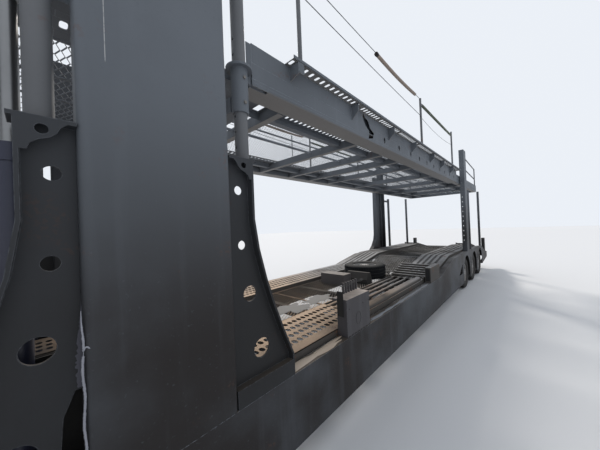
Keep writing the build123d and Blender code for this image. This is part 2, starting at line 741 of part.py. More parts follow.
# Carriage: sleeves on the rear prop tubes, a cross tube and the hinge pins of the main upper deck
def deck_carriage():
    """Two sleeves with collars, lugs and pins, joined by a cross tube."""
    bore = PROP_RADIUS + SLEEVE_CLEARANCE
    x = PROP_REAR_X
    carriage = None
    for side in (1, -1):
        y = side * PROP_Y
        sleeve = rod((x, y, SLEEVE_BOTTOM), (x, y, SLEEVE_TOP), SLEEVE_RADIUS)
        sleeve += rod((x, y, SLEEVE_TOP - COLLAR_THICKNESS), (x, y, SLEEVE_TOP), COLLAR_RADIUS)
        lug_low, lug_high = HINGE_Z - LUG_REACH, HINGE_Z + HINGE_PIN_RADIUS + 8
        lug = block(HINGE_X - LUG_REACH, x, side * LUG_INNER_Y, side * LUG_OUTER_Y, lug_low, lug_high)
        start, end = (HINGE_X, side * (BEAM_INNER_Y - 10), HINGE_Z), (HINGE_X, side * LUG_OUTER_Y, HINGE_Z)
        pin = rod(start, end, HINGE_PIN_RADIUS)
        end = sleeve + lug + pin - rod((x, y, SLEEVE_BOTTOM - 5), (x, y, lug_high + 5), bore)
        carriage = end if carriage is None else carriage + end
    reach = PROP_Y - SLEEVE_RADIUS + 8
    beam = block(x - 45, x + 45, -reach, reach, SLEEVE_BOTTOM + 20, SLEEVE_BOTTOM + 120)
    return carriage + beam


save("deck_carriage", deck_carriage())


# Main upper deck: side beams
def side_beam():
    """Left beam: deep web with a box behind its foot, walkway, and the box between the posts."""
    front = DECK_SIDE_FRONT_X
    end = DECK_SIDE_END_X
    box = block(end, front, BEAM_INNER_Y, BEAM_WEB_Y, DECK_BOTTOM, DECK_FLOOR)
    slot_back = HINGE_X - LUG_SLOT_REACH
    box -= block(slot_back, front + 1, LUG_INNER_Y - LUG_GAP, BEAM_WEB_Y, DECK_BOTTOM - 1, DECK_FLOOR + 1)
    pin_start, pin_end = (HINGE_X, BEAM_INNER_Y - 5, HINGE_Z), (HINGE_X, LUG_INNER_Y, HINGE_Z)
    box -= rod(pin_start, pin_end, HINGE_PIN_RADIUS + PIN_CLEARANCE)
    web = block(end, front, BEAM_WEB_Y, BEAM_FACE_Y, DECK_BOTTOM, DECK_BEAM_TOP)
    web += block(front - 1, front + BEAM_NOSE, BEAM_WEB_Y, BEAM_FACE_Y, BEAM_NOSE_LOW, DECK_BEAM_TOP)
    walk_front = front - WALKWAY_SETBACK
    walk_top = DECK_BEAM_TOP + WALKWAY_THICKNESS
    lip_y = HALF_WIDTH - WALKWAY_LIP_PLATE
    walkway = block(end, walk_front, BEAM_WEB_Y, HALF_WIDTH, DECK_BEAM_TOP, walk_top)
    walkway += block(end, walk_front, lip_y, HALF_WIDTH, walk_top, DECK_BEAM_TOP + WALKWAY_LIP)
    inner_out = REAR_DECK_HALF_WIDTH
    inner_in = inner_out - REAR_DECK_BOX
    tail = block(DECK_END_X, end, inner_in, inner_out, DECK_BOTTOM, DECK_FLOOR)
    x, z = POST_FRONT_X - POST_LENGTH * 0.62, DECK_BOTTOM + 40
    roller_out = HALF_WIDTH - POST_WALL - 12
    tail += rod((x, inner_in + 10, z), (x, roller_out, z), POST_ROLLER_RADIUS / 2)
    tail += rod((x, inner_out + 20, z), (x, roller_out, z), POST_ROLLER_RADIUS)
    return [box, web, walkway, tail]


LEFT_BEAM = side_beam()
save("upper_side_beam_left", *LEFT_BEAM)
save("upper_side_beam_right", *[other_side(section) for section in LEFT_BEAM])


# Main upper deck: cross-members, wheel tracks and floor mesh
def deck_stations():
    """Stations of the cross-members, front to back, the last one at the deck's end."""
    deck_length = DECK_SIDE_FRONT_X - DECK_END_X
    last = DECK_END_X + DECK_CROSS_WIDTH / 2
    return [DECK_SIDE_FRONT_X - share * deck_length for share in DECK_CROSS_SHARES] + [last]


def deck_cross_members():
    """Bars between the side beams, under the floor."""
    bars = []
    half = DECK_CROSS_WIDTH / 2
    for x in deck_stations():
        inside = BEAM_INNER_Y if x > DECK_SIDE_END_X else REAR_DECK_HALF_WIDTH - REAR_DECK_BOX
        bars.append(block(x - half, x + half, -inside, inside, DECK_BOTTOM, DECK_FLOOR))
    return bars


def deck_track(side):
    """Wheel track of the main upper deck, narrow between the sleeves, with a window in its front part."""
    top = DECK_FLOOR + DECK_FLOOR_PLATE
    narrow_end = DECK_SIDE_FRONT_X
    front = COLUMN_REAR_X + DECK_FRONT_OVERLAP
    track = block(narrow_end, front, DECK_TRACK_INNER_Y, DECK_TRACK_NARROW_Y, DECK_FLOOR, top)
    track += block(DECK_END_X, narrow_end, DECK_TRACK_INNER_Y, DECK_TRACK_OUTER_Y, DECK_FLOOR, top)
    fascia_out = REAR_DECK_HALF_WIDTH
    track += block(DECK_END_X, DECK_SIDE_END_X - 60, fascia_out - 10, fascia_out, top, top + FASCIA_HEIGHT)
    rib_z = DECK_FLOOR - 60
    track += block(DECK_END_X + 80, front, DECK_TRACK_INNER_Y, DECK_TRACK_INNER_Y + 8, rib_z, DECK_FLOOR)
    track += block(narrow_end, front, DECK_TRACK_NARROW_Y - 8, DECK_TRACK_NARROW_Y, rib_z, DECK_FLOOR)
    half = DECK_CROSS_WIDTH / 2
    inner = DECK_TRACK_INNER_Y
    for x in deck_stations():
        track -= block(x - half, x + half, inner - 1, inner + 9, rib_z - 1, DECK_FLOOR)
    window_back = deck_stations()[0] + half + TRACK_WINDOW_LEAD
    window_outer = HALF_WIDTH - TRACK_WINDOW_INSET
    window_inner = window_outer - TRACK_WINDOW_WIDTH
    window_front = window_back + TRACK_WINDOW_LENGTH
    track -= block(window_back, window_front, window_inner, window_outer, DECK_FLOOR - 1, top + 1)
    return on_side(track, side)


def open_grid(stations, half_width):
    """Flat grid of long strips between two edges, tied across at each station."""
    low, high = DECK_FLOOR, DECK_FLOOR + DECK_FLOOR_PLATE
    back, front = stations[-1] - GRID_TIE_WIDTH / 2, stations[0] + GRID_TIE_WIDTH / 2
    pitch = (2 * half_width - GRID_STRIP_WIDTH) / GRID_STRIPS
    grid = None
    for n in range(GRID_STRIPS + 1):
        y = n * pitch - half_width
        strip = block(back, front, y, y + GRID_STRIP_WIDTH, low, high)
        grid = strip if grid is None else grid + strip
    for x in stations:
        grid += block(x - GRID_TIE_WIDTH / 2, x + GRID_TIE_WIDTH / 2, -half_width, half_width, low, high)
    return grid


save("upper_cross_members", *deck_cross_members())
save("upper_tracks", deck_track(1), deck_track(-1))
save("upper_mesh_floor", open_grid(deck_stations(), DECK_TRACK_INNER_Y - 5))


# Guard rails of the upper deck
def guard_rail(side):
    """Stanchions on the walkway with the tube rail, and the frame round the rear platform."""
    y = HALF_WIDTH - WALKWAY_LIP_PLATE - RAIL_TUBE_RADIUS
    base = DECK_BEAM_TOP + WALKWAY_THICKNESS
    top = base + STANCHION_HEIGHT
    side_length = DECK_SIDE_FRONT_X - DECK_SIDE_END_X
    posts = [DECK_SIDE_FRONT_X - share * side_length for share in STANCHION_SHARES]
    uprights = [rod((x, y, base), (x, y, top), RAIL_TUBE_RADIUS) for x in posts]
    rail_z = top - 90
    long_rail = rod((posts[1], y, rail_z), (posts[2], y, rail_z), RAIL_TUBE_RADIUS - 1)
    pieces = uprights + [long_rail - uprights[1] - uprights[2]]
    y = REAR_DECK_HALF_WIDTH - 10 - RAIL_TUBE_RADIUS
    base = DECK_FLOOR + DECK_FLOOR_PLATE
    front = DECK_SIDE_END_X - 900
    back = DECK_END_X + 60
    high, low = base + REAR_RAIL_HEIGHT + 80, base + REAR_RAIL_HEIGHT - 60
    cap = RAIL_TUBE_RADIUS + 5
    front_post = rod((front, y, base), (front, y, high + cap), RAIL_TUBE_RADIUS)
    back_post = rod((back, y, base), (back, y, low + cap), RAIL_TUBE_RADIUS)
    pieces += [front_post, back_post]
    for drop in (0, 350):
        bar = rod((front, y, high - drop), (back, y, low - drop), RAIL_TUBE_RADIUS - 1)
        pieces.append(bar - front_post - back_post)
    return [on_side(piece, side) for piece in pieces]


save("guard_rails", *guard_rail(1), *guard_rail(-1))


# Rear posts: channels open inwards, guide tubes and support posts
def post_brace():
    """Upright web with a front flange that flares at its foot, standing ahead of a post."""
    x = POST_FRONT_X
    foot = BRACE_FOOT_LEAD
    flare = [(foot, 0), (foot * 0.74, 0.3), (foot * 0.56, 0.66), (BRACE_LEAD, 1)]
    edge = [(x + lead, HUMP_TOP + share * BRACE_FOOT_RISE) for lead, share in flare]
    edge.append((x + BRACE_LEAD - 40, BRACE_TOP))
    inner_edge = [(ex - BRACE_PLATE, ez) for ex, ez in edge]
    inner_y = TRACK_OUTER_Y + BRACE_GAP
    middle_y = (inner_y + HALF_WIDTH) / 2
    web = side_shape(edge + [(x, BRACE_TOP), (x, HUMP_TOP)], middle_y, middle_y + BRACE_PLATE)
    return web + side_shape(edge + inner_edge[::-1], inner_y, HALF_WIDTH)


def rear_posts():
    """Posts on the sills beside the rear of the upper deck, the right one with a brace."""
    pieces = []
    for side in (1, -1):
        back = POST_FRONT_X - POST_LENGTH
        inner = HALF_WIDTH - POST_DEPTH
        wall = POST_WALL
        post = block(back, POST_FRONT_X, inner, HALF_WIDTH, HUMP_TOP, POST_TOP)
        low, high = HUMP_TOP + wall, POST_TOP - wall
        post -= block(back + wall, POST_FRONT_X - wall, inner - 5, HALF_WIDTH - wall, low, high)
        count = int((POST_TOP - HUMP_TOP - 400) / POST_HOLE_PITCH)
        for n in range(count):
            z = HUMP_TOP + 300 + n * POST_HOLE_PITCH
            post -= rod((POST_FRONT_X - wall - 5, inner + 45, z), (POST_FRONT_X + 5, inner + 45, z), 11)
        pieces.append(on_side(post, side))
        guide_x = back - 420
        guide = rod((guide_x, HALF_WIDTH - 60, HUMP_TOP), (guide_x, HALF_WIDTH - 60, GUIDE_TOP), GUIDE_RADIUS)
        tie = block(guide_x, back, HALF_WIDTH - 70, HALF_WIDTH - 50, GUIDE_TOP - 120, GUIDE_TOP - 60)
        pieces[-1] += on_side(guide + tie, side)
        support_y = HALF_WIDTH - SUPPORT_SIZE / 2 - 10
        half = SUPPORT_SIZE / 2
        ahead, behind = SUPPORT_X + half, SUPPORT_X - half
        sides = [
            (ahead, sill_top_at(ahead)),
            (ahead, SUPPORT_TOP),
            (behind, SUPPORT_TOP),
            (behind, sill_top_at(behind)),
        ]
        support = side_shape(sides, support_y - half, support_y + half)
        pieces.append(on_side(support, side))
    pieces[2] += other_side(post_brace())
    return pieces


save("rear_posts", *rear_posts())


# Axles: beam, stubs and brake plates
def axle(x):
    """One straight axle beam with its stub shafts and backing plates."""
    inner = TYRE_Y - TYRE_WIDTH / 2 - 15
    tip = TYRE_Y + 40
    beam = rod((x, -inner, AXLE_Z), (x, inner, AXLE_Z), AXLE_BEAM_RADIUS)
    beam += rod((x, -tip, AXLE_Z), (x, tip, AXLE_Z), STUB_RADIUS)
    for side in (1, -1):
        beam += rod((x, side * (inner - 30), AXLE_Z), (x, side * inner, AXLE_Z), DRUM_RADIUS)
    return beam


save("axles", *[axle(x) for x in AXLE_X])


# Trailing arms with their hangers, and the air springs
def trailing_arm(x, side):
    """Hanger under the rail and the arm that runs back over the axle."""
    y = side * RAIL_OFFSET
    top = AXLE_Z + AXLE_BEAM_RADIUS
    hanger = [(x + 520, RAIL_BOTTOM), (x + 380, RAIL_BOTTOM), (x + 410, AXLE_Z + 20), (x + 490, AXLE_Z + 20)]
    arm = side_shape(hanger, y - 55, y + 55)
    outline = [
        (x + 490, top + 40),
        (x + 110, top + 75),
        (x - 110, top + 75),
        (x - 200, top - 10),
        (x - 440, top - 20),
        (x - 440, top - 70),
        (x - 220, top - 75),
        (x - 90, top),
        (x + 90, top),
        (x + 430, top - 45),
    ]
    return arm + side_shape(outline, y - 40, y + 40)


def air_spring(x, side):
    """Rubber bellows between the arm's tail and the rail."""
    y = side * RAIL_OFFSET
    low = AXLE_Z + AXLE_BEAM_RADIUS - 10
    base = rod((x - 330, y, low), (x - 330, y, low + 55), AIR_SPRING_RADIUS * 0.7)
    belly = rod((x - 330, y, low + 55), (x - 330, y, RAIL_BOTTOM), AIR_SPRING_RADIUS)
    return base + belly


save("trailing_arms", *[trailing_arm(x, side) for x in AXLE_X for side in (1, -1)])
save("air_springs", *[air_spring(x, side) for x in AXLE_X for side in (1, -1)])


# Wheels: tyre and steel rim with its hub
def tyre_profile():
    """Half section of a tyre as (radius, distance across) points."""
    bead = RIM_DIAMETER / 2
    tread = TYRE_DIAMETER / 2
    half = TYRE_WIDTH / 2
    return [
        (bead, -half + 30),
        (bead + 70, -half),
        (tread - 45, -half + 4),
        (tread - 4, -half + 28),
        (tread, 0),
        (tread - 4, half - 28),
        (tread - 45, half - 4),
        (bead + 70, half),
        (bead, half - 30),
    ]


def tyre(x, z):
    """Tyre on the left, turned about its axle."""
    return Pos(0, TYRE_Y, 0) * turned(tyre_profile(), x, z)


def rim(x, z, bored=True):
    """Rim with its drop centre, dished disc, hand holes and hub on the left."""
    edge = RIM_DIAMETER / 2 - 0.3
    half = TYRE_WIDTH / 2 - 30
    section = [
        (edge, -half),
        (edge, half),
        (edge - 14, half),
        (edge - 30, 40),
        (DISC_RADIUS, 40),
        (HUB_RADIUS, 62),
        (HUB_RADIUS, HUB_REACH),
        (0, HUB_REACH),
        (0, -half + 45),
        (HUB_RADIUS, -half + 45),
        (HUB_RADIUS, 28),
        (DISC_RADIUS, 22),
        (edge - 30, 22),
        (edge - 14, -half),
    ]
    wheel = Pos(0, TYRE_Y, 0) * turned(section, x, z)
    hole_circle = (DISC_RADIUS + HUB_RADIUS) / 2 + 18
    for n in range(HAND_HOLES):
        angle = 2 * math.pi * n / HAND_HOLES
        hx, hz = x + hole_circle * math.cos(angle), z + hole_circle * math.sin(angle)
        wheel -= rod((hx, TYRE_Y, hz), (hx, TYRE_Y + 90, hz), 19)
    if bored:
        deep = TYRE_Y + 50
        wheel -= rod((x, TYRE_Y - TYRE_WIDTH, z), (x, deep, z), STUB_RADIUS + HUB_CLEARANCE)
    return wheel


for number, axle_x in enumerate(AXLE_X, start=1):
    for word, side in SIDES:
        save(f"tyre_{number}_{word}", on_side(tyre(axle_x, AXLE_Z), side))
        save(f"rim_{number}_{word}", on_side(rim(axle_x, AXLE_Z), side))


# Spare wheel lying flat on the bed
def laid_flat(solid):
    """A wheel built on the left side, turned to lie on the bed floor."""
    at_origin = Pos(0, -TYRE_Y, 0) * solid
    floor = TRACK_TOP - TRACK_EDGE + CENTRE_PLATE
    return Pos(SPARE_X, SPARE_Y, floor + TYRE_WIDTH / 2) * (Rot(90, 0, 0) * at_origin)


save("spare_tyre", laid_flat(tyre(0, 0)))
save("spare_rim", laid_flat(rim(0, 0, bored=False)))


# Chocks lying ahead of the spare wheel
def chocks():
    """A flat block and a wedge of rubber on the bed floor."""
    floor = TRACK_TOP - TRACK_EDGE + CENTRE_PLATE
    x = SPARE_X + CHOCK_LEAD
    y, half = CHOCK_Y, CHOCK_WIDTH / 2
    grey = block(x, x + CHOCK_LENGTH, y - half, y + half, floor, floor + CHOCK_HEIGHT)
    x = SPARE_X + RUBBER_CHOCK_LEAD
    y, half = RUBBER_CHOCK_Y, RUBBER_CHOCK_WIDTH / 2
    low, high = floor, floor + RUBBER_CHOCK_HEIGHT
    outline = [
        (x, low),
        (x, low + 70),
        (x + 50, high),
        (x + 110, high),
        (x + RUBBER_CHOCK_LENGTH, low + 80),
        (x + RUBBER_CHOCK_LENGTH, low),
    ]
    return grey, side_shape(outline, y - half, y + half)


GREY_CHOCK, RUBBER_CHOCK = chocks()
save("grey_chock", GREY_CHOCK)
save("rubber_chock", RUBBER_CHOCK)


# Landing legs in front of the bed
def rods_along(points, radius):
    """Round bars joined end to end along straight runs."""
    joined = None
    for start, end in zip(points, points[1:]):
        run = rod(start, end, radius)
        joined = run if joined is None else joined + run
    return joined


def landing_legs():
    """Two legs with inner tubes and feet, joined by the cross shaft, with the crank on the left."""
    back = BED_FRONT_X + 60 + CROSS_WIDTH / 2
    x = back + LEG_SIZE / 2
    top = NECK_TRACK_TOP - TRACK_EDGE - 10
    legs = None
    for side in (1, -1):
        y = side * LEG_Y
        half, small = LEG_SIZE / 2, LEG_INNER_SIZE / 2
        leg = block(x - half, x + half, y - half, y + half, LEG_SLEEVE_BOTTOM, top)
        leg += block(x - small, x + small, y - small, y + small, FOOT_THICKNESS, LEG_SLEEVE_BOTTOM)
        along, across = FOOT_LENGTH / 2, FOOT_WIDTH / 2
        leg += block(x - along, x + along, y - across, y + across, 0, FOOT_THICKNESS)
        legs = leg if legs is None else legs + leg
    crank_y, high = LEG_Y + 150, SHAFT_HEIGHT
    low = high - CRANK_DROP
    legs += rod((x, -LEG_Y, high), (x, crank_y, high), 16)
    crank = rods_along([(x, crank_y, high), (x, crank_y, low), (x, crank_y + 80, low)], 12)
    return legs + crank


save("landing_legs", landing_legs())


# Front upper deck, its posts and rams
def front_posts():
    """Posts on the neck with the hinge pins of the front upper deck."""
    posts = []
    x, z = FRONT_POST_X, FRONT_PIN_Z
    inner = TRACK_OUTER_Y + 5
    half = FRONT_POST_SIZE / 2
    for side in (1, -1):
        post = block(x - half, x + half, inner, inner + FRONT_POST_SIZE, NECK_TOP, z + 60)
        pin = rod((x, FRONT_BEAM_INNER_Y - 10, z), (x, inner, z), FRONT_PIN_RADIUS)
        posts.append(on_side(post + pin, side))
    return posts


def front_deck_stations():
    """Stations of the front deck's cross-members, front to back."""
    start, end = FRONT_DECK_FRONT_X - 60, FRONT_DECK_BACK_X + 40
    return [start + (end - start) * n / 4 for n in range(5)]


def front_deck_frame():
    """Side beams and cross-members of the front upper deck."""
    inner, outer = FRONT_BEAM_INNER_Y, FRONT_BEAM_OUTER_Y
    back, front = FRONT_DECK_BACK_X, FRONT_DECK_FRONT_X
    top = DECK_FLOOR + 10
    x, z = FRONT_POST_X, FRONT_PIN_Z
    frame = None
    for side in (1, -1):
        beam = block(back, front, side * inner, side * outer, top - FRONT_BEAM_DEPTH, top)
        start, end = (x, side * (inner - 20), z), (x, side * (outer + 5), z)
        beam -= rod(start, end, FRONT_PIN_RADIUS + PIN_CLEARANCE)
        frame = beam if frame is None else frame + beam
    half = DECK_CROSS_WIDTH / 2
    for x in front_deck_stations():
        frame += block(x - half, x + half, -inner, inner, DECK_FLOOR - FRONT_CROSS_DEPTH, DECK_FLOOR)
    return frame


def front_deck_floor():
    """Two wheel tracks and the open grid between them."""
    inner = FRONT_BEAM_INNER_Y
    top = DECK_FLOOR + DECK_FLOOR_PLATE
    back, front = FRONT_DECK_BACK_X, FRONT_DECK_FRONT_X
    panels = [open_grid(front_deck_stations(), DECK_TRACK_INNER_Y - 5)]
    for side in (1, -1):
        panels.append(block(back, front, side * DECK_TRACK_INNER_Y, side * inner, DECK_FLOOR, top))
    return panels


def ram_barrels():
    """Barrels of the front deck's rams, on brackets inside the sills."""
    barrels = []
    x, y = RAM_X, RAM_Y
    seat, top = SILL_TOP - SILL_PLATE, RAM_BARREL_TOP
    for side in (1, -1):
        bracket = block(x - 60, x + 60, y - 60, HALF_WIDTH - SILL_PLATE, seat - 100, seat)
        barrel = rod((x, y, seat), (x, y, top), RAM_RADIUS)
        barrel += rod((x, y, top - 70), (x, y, top), RAM_RADIUS + 6)
        barrel -= rod((x, y, seat + 60), (x, y, top + 5), RAM_ROD_RADIUS + PIN_CLEARANCE)
        barrels.append(on_side(bracket + barrel, side))
    return barrels


def ram_rods():
    """Rods with domed heads that carry the rear end of the front upper deck."""
    rods = []
    head_top = DECK_FLOOR + 10 - FRONT_BEAM_DEPTH - RAM_GAP
    dome = RAM_ROD_RADIUS + 10
    for side in (1, -1):
        shaft = rod((RAM_X, RAM_Y, SILL_TOP + 480), (RAM_X, RAM_Y, head_top - dome), RAM_ROD_RADIUS)
        shaft += Pos(RAM_X, RAM_Y, head_top - dome) * Sphere(dome)
        rods.append(on_side(shaft, side))
    return rods


save("front_posts", *front_posts())
save("front_deck_frame", front_deck_frame())
save("front_deck_floor", *front_deck_floor())
save("ram_barrels", *ram_barrels())
save("ram_rods", *ram_rods())


# Tail ramps lying on the tail
def tail_slope():
    """Angle of the tail's wheel tracks in degrees."""
    x0, z0, x1, z1, outer = track_spans()[-1]
    return math.degrees(math.atan2(z0 - z1, x0 - x1))


def tail_ramp(side):
    """Ramp with two side rails and cross rungs, lying forward on the tail."""
    low, high = -RAMP_WIDTH / 2, RAMP_WIDTH / 2
    x, z = RAMP_HINGE_X, RAMP_HINGE_Z
    angle = tail_slope()
    x0, z0, x1, z1, outer = track_spans()[-1]
    plane_at_hinge = z1 + (x - x1) * math.tan(math.radians(angle))
    under = -(z - plane_at_hinge) * math.cos(math.radians(angle)) + RAMP_REST_GAP
    top = under + RAMP_DEPTH
    ramp = None
    for edge in (low, high - 30):
        rail = block(55, RAMP_LENGTH, edge, edge + 30, under, top)
        ramp = rail if ramp is None else ramp + rail
    rungs = int((RAMP_LENGTH - 200) / RUNG_PITCH)
    for n in range(rungs + 1):
        rung_x = 120 + n * RUNG_PITCH
        ramp += block(rung_x - 15, rung_x + 15, low, high, top - 32, top - 4)
    eye = rod((0, low, 0), (0, high, 0), RAMP_PIN_RADIUS + 14)
    web = block(5, 135, low, high, under + 14, top - 6)
    ramp += eye + web
    ramp -= rod((0, low - 5, 0), (0, high + 5, 0), RAMP_PIN_RADIUS + PIN_CLEARANCE)
    placed = Pos(x, RAMP_Y, z) * (Rot(0, -angle, 0) * ramp)
    return on_side(placed, side)


save("tail_ramp_left", tail_ramp(1))
save("tail_ramp_right", tail_ramp(-1))


# Tail lamp housings on the ends of the sills
def tail_lamps():
    """Upright housings standing on the sloping sill ends."""
    lamps = []
    ahead, behind = TAIL_X + 500, TAIL_X + 330
    outline = [
        (ahead, sill_top_at(ahead)),
        (ahead, LAMP_TOP),
        (behind, LAMP_TOP),
        (behind, sill_top_at(behind)),
    ]
    for side in (1, -1):
        lamps.append(on_side(side_shape(outline, HALF_WIDTH - 95, HALF_WIDTH - 5), side))
    return lamps


save("tail_lamps", *tail_lamps())


# Control box beside the left track, with its lid and comb
def control_box():
    """Housing on the sill with a wide lid and eight upright teeth."""
    back = BOX_BACK_X
    front = back + BOX_LENGTH
    inner = TRACK_OUTER_Y + 5
    box = block(back, front, inner, HALF_WIDTH - 5, SILL_TOP, SILL_TOP + BOX_HEIGHT)
    lid_low = SILL_TOP + BOX_HEIGHT - 20
    lid_in = inner - BOX_LID_REACH
    box += block(back - 10, front + 10, lid_in, inner, lid_low, lid_low + 20)
    for n in range(COMB_TEETH):
        x = back + 12 + n * COMB_LENGTH / (COMB_TEETH - 1)
        box += block(x - 7, x + 7, lid_in, lid_in + 22, lid_low + 20, lid_low + 20 + COMB_HEIGHT)
    return box


save("control_box", control_box())


# Slatted step on the left track ahead of the hump
def slat_step():
    """End box on the sill and a flight of rising slats across the track."""
    back, front = STEP_BACK_X, STEP_FRONT_X
    outer = HALF_WIDTH - 5
    step = block(back, front, outer - 90, outer, SILL_TOP, SILL_TOP + STEP_HEIGHT)
    inner = TRACK_INNER_Y + 10
    for edge in (inner, TRACK_OUTER_Y - 30):
        rail = [(front, TRACK_TOP), (front, TRACK_TOP + 20), (back, TRACK_TOP + 170), (back, TRACK_TOP)]
        step += side_shape(rail, edge, edge + 30)
    for n in range(STEP_SLATS):
        x = front - 40 - n * (STEP_LENGTH - 80) / (STEP_SLATS - 1)
        z = TRACK_TOP + 20 + (front - x) * 150 / STEP_LENGTH - 5
        step += block(x - 25, x + 25, inner, outer - 90, z - 12, z + 18)
    return step


save("slat_step", slat_step())
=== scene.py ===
import math

import bpy
import numpy as np
from mathutils import Matrix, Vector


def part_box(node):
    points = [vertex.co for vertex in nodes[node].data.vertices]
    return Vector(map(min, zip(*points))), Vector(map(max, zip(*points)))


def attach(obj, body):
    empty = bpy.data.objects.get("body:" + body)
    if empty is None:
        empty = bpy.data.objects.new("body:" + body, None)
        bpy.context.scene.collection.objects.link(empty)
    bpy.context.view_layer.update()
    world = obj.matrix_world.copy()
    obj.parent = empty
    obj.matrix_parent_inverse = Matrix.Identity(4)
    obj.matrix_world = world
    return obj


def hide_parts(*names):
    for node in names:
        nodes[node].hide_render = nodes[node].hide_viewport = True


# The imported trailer: every solid lies in metres with +X towards the kingpin and +Z up.
# Its box is kept, because all that is added stays inside it.
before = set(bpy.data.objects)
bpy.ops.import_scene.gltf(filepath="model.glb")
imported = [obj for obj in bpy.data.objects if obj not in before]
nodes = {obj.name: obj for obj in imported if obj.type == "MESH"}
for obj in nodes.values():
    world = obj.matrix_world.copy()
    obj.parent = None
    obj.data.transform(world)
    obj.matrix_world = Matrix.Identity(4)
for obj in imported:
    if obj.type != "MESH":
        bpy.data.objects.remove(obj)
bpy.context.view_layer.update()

# Viewpoint: a wide lens near the left column, level with a standing person's eyes, looking
# along the trailer towards its tail.
def in_scene(name, data):
    """A new object with this data, in the scene."""
    made = bpy.data.objects.new(name, data)
    bpy.context.scene.collection.objects.link(made)
    return made


EYE = (4.100, 2.513, 1.79)
HEADING, RISE, TILT = math.radians(223.09), math.radians(0.41), math.radians(-2.30)
FOCAL_PIXELS, PICTURE_WIDTH, SENSOR, NEAREST, FARTHEST = 246.5, 600, 36.0, 0.05, 400
ahead = np.array([math.cos(HEADING) * math.cos(RISE), math.sin(HEADING) * math.cos(RISE), math.sin(RISE)])
level = np.cross(ahead, [0, 0, 1])
level /= np.linalg.norm(level)
upright = np.cross(level, ahead)
right = math.cos(TILT) * level + math.sin(TILT) * upright
top = -math.sin(TILT) * level + math.cos(TILT) * upright
camera = in_scene("camera", bpy.data.cameras.new("camera"))
camera.data.lens = FOCAL_PIXELS / PICTURE_WIDTH * SENSOR
camera.data.sensor_width = SENSOR
camera.data.clip_start, camera.data.clip_end = NEAREST, FARTHEST
placing = np.eye(4)
placing[:3, 0], placing[:3, 1], placing[:3, 2], placing[:3, 3] = right, top, -ahead, EYE
camera.matrix_world = Matrix(placing)
bpy.context.scene.camera = camera


# Studio: a pale floor, an even pale sky that also shows in gloss, and one broad lamp from
# behind on the right, so that the near side is in open shade as it is outdoors.
def put(tree, kind, inputs=(), **settings):
    """Adds one shader node; each input is (socket, value), and a value may be another node's output."""
    made = tree.nodes.new(kind)
    for key, value in settings.items():
        setattr(made, key, value)
    for socket, value in inputs:
        if isinstance(value, bpy.types.NodeSocket):
            tree.links.new(value, made.inputs[socket])
        else:
            made.inputs[socket].default_value = value
    return made


def blank_material(name):
    """An empty node material with its output and Principled shader."""
    material = bpy.data.materials.new(name)
    material.use_nodes = True
    tree = material.node_tree
    tree.nodes.clear()
    output = tree.nodes.new("ShaderNodeOutputMaterial")
    shader = tree.nodes.new("ShaderNodeBsdfPrincipled")
    tree.links.new(shader.outputs["BSDF"], output.inputs["Surface"])
    return material, tree, shader


SKY_COLOUR, SKY_LIGHT, SKY_SHOWN = (0.86, 0.90, 0.96, 1), 0.72, 0.97
FLOOR_COLOUR, FLOOR_ROUGH, FLOOR_HALF, FLOOR_BELOW = (0.78, 0.79, 0.81, 1), 0.9, 60.0, 0.001
LAMP_HEADING, LAMP_HEIGHT = math.radians(228), math.radians(36)
LAMP_STRENGTH, LAMP_SPREAD, LAMP_COLOUR = 2.1, math.radians(9), (1.0, 0.94, 0.86)

world = bpy.data.worlds.new("studio")
world.use_nodes = True
bpy.context.scene.world = world
sky = world.node_tree
sky.nodes.clear()
rays = put(sky, "ShaderNodeLightPath")
seen = put(sky, "ShaderNodeMath", [(0, rays.outputs["Is Camera Ray"]), (1, rays.outputs["Is Glossy Ray"])],
           operation="MAXIMUM")
seen = put(sky, "ShaderNodeMath", [(0, seen.outputs[0]), (1, rays.outputs["Is Transmission Ray"])],
           operation="MAXIMUM")
lighting = put(sky, "ShaderNodeBackground", [("Color", SKY_COLOUR), ("Strength", SKY_LIGHT)])
shown = put(sky, "ShaderNodeBackground", [("Color", SKY_COLOUR), ("Strength", SKY_SHOWN)])
mixed = put(sky, "ShaderNodeMixShader", [(0, seen.outputs[0]), (1, lighting.outputs[0]), (2, shown.outputs[0])])
put(sky, "ShaderNodeOutputWorld", [("Surface", mixed.outputs[0])])

lamp = in_scene("sun_lamp", bpy.data.lights.new("sun_lamp", "SUN"))
lamp.data.energy, lamp.data.angle, lamp.data.color = LAMP_STRENGTH, LAMP_SPREAD, LAMP_COLOUR
lamp.rotation_euler = (math.pi / 2 - LAMP_HEIGHT, 0, LAMP_HEADING + math.pi / 2)

floor_mesh = bpy.data.meshes.new("floor")
corners = [(x * FLOOR_HALF, y * FLOOR_HALF, -FLOOR_BELOW) for x, y in ((-1, -1), (1, -1), (1, 1), (-1, 1))]
floor_mesh.from_pydata(corners, [], [(0, 1, 2, 3)])
floor_object = in_scene("floor", floor_mesh)
floor_material, _, shader = blank_material("pale_floor")
shader.inputs["Base Color"].default_value = FLOOR_COLOUR
shader.inputs["Roughness"].default_value = FLOOR_ROUGH
floor_mesh.materials.append(floor_material)
bpy.context.scene.view_settings.view_transform = "Standard"


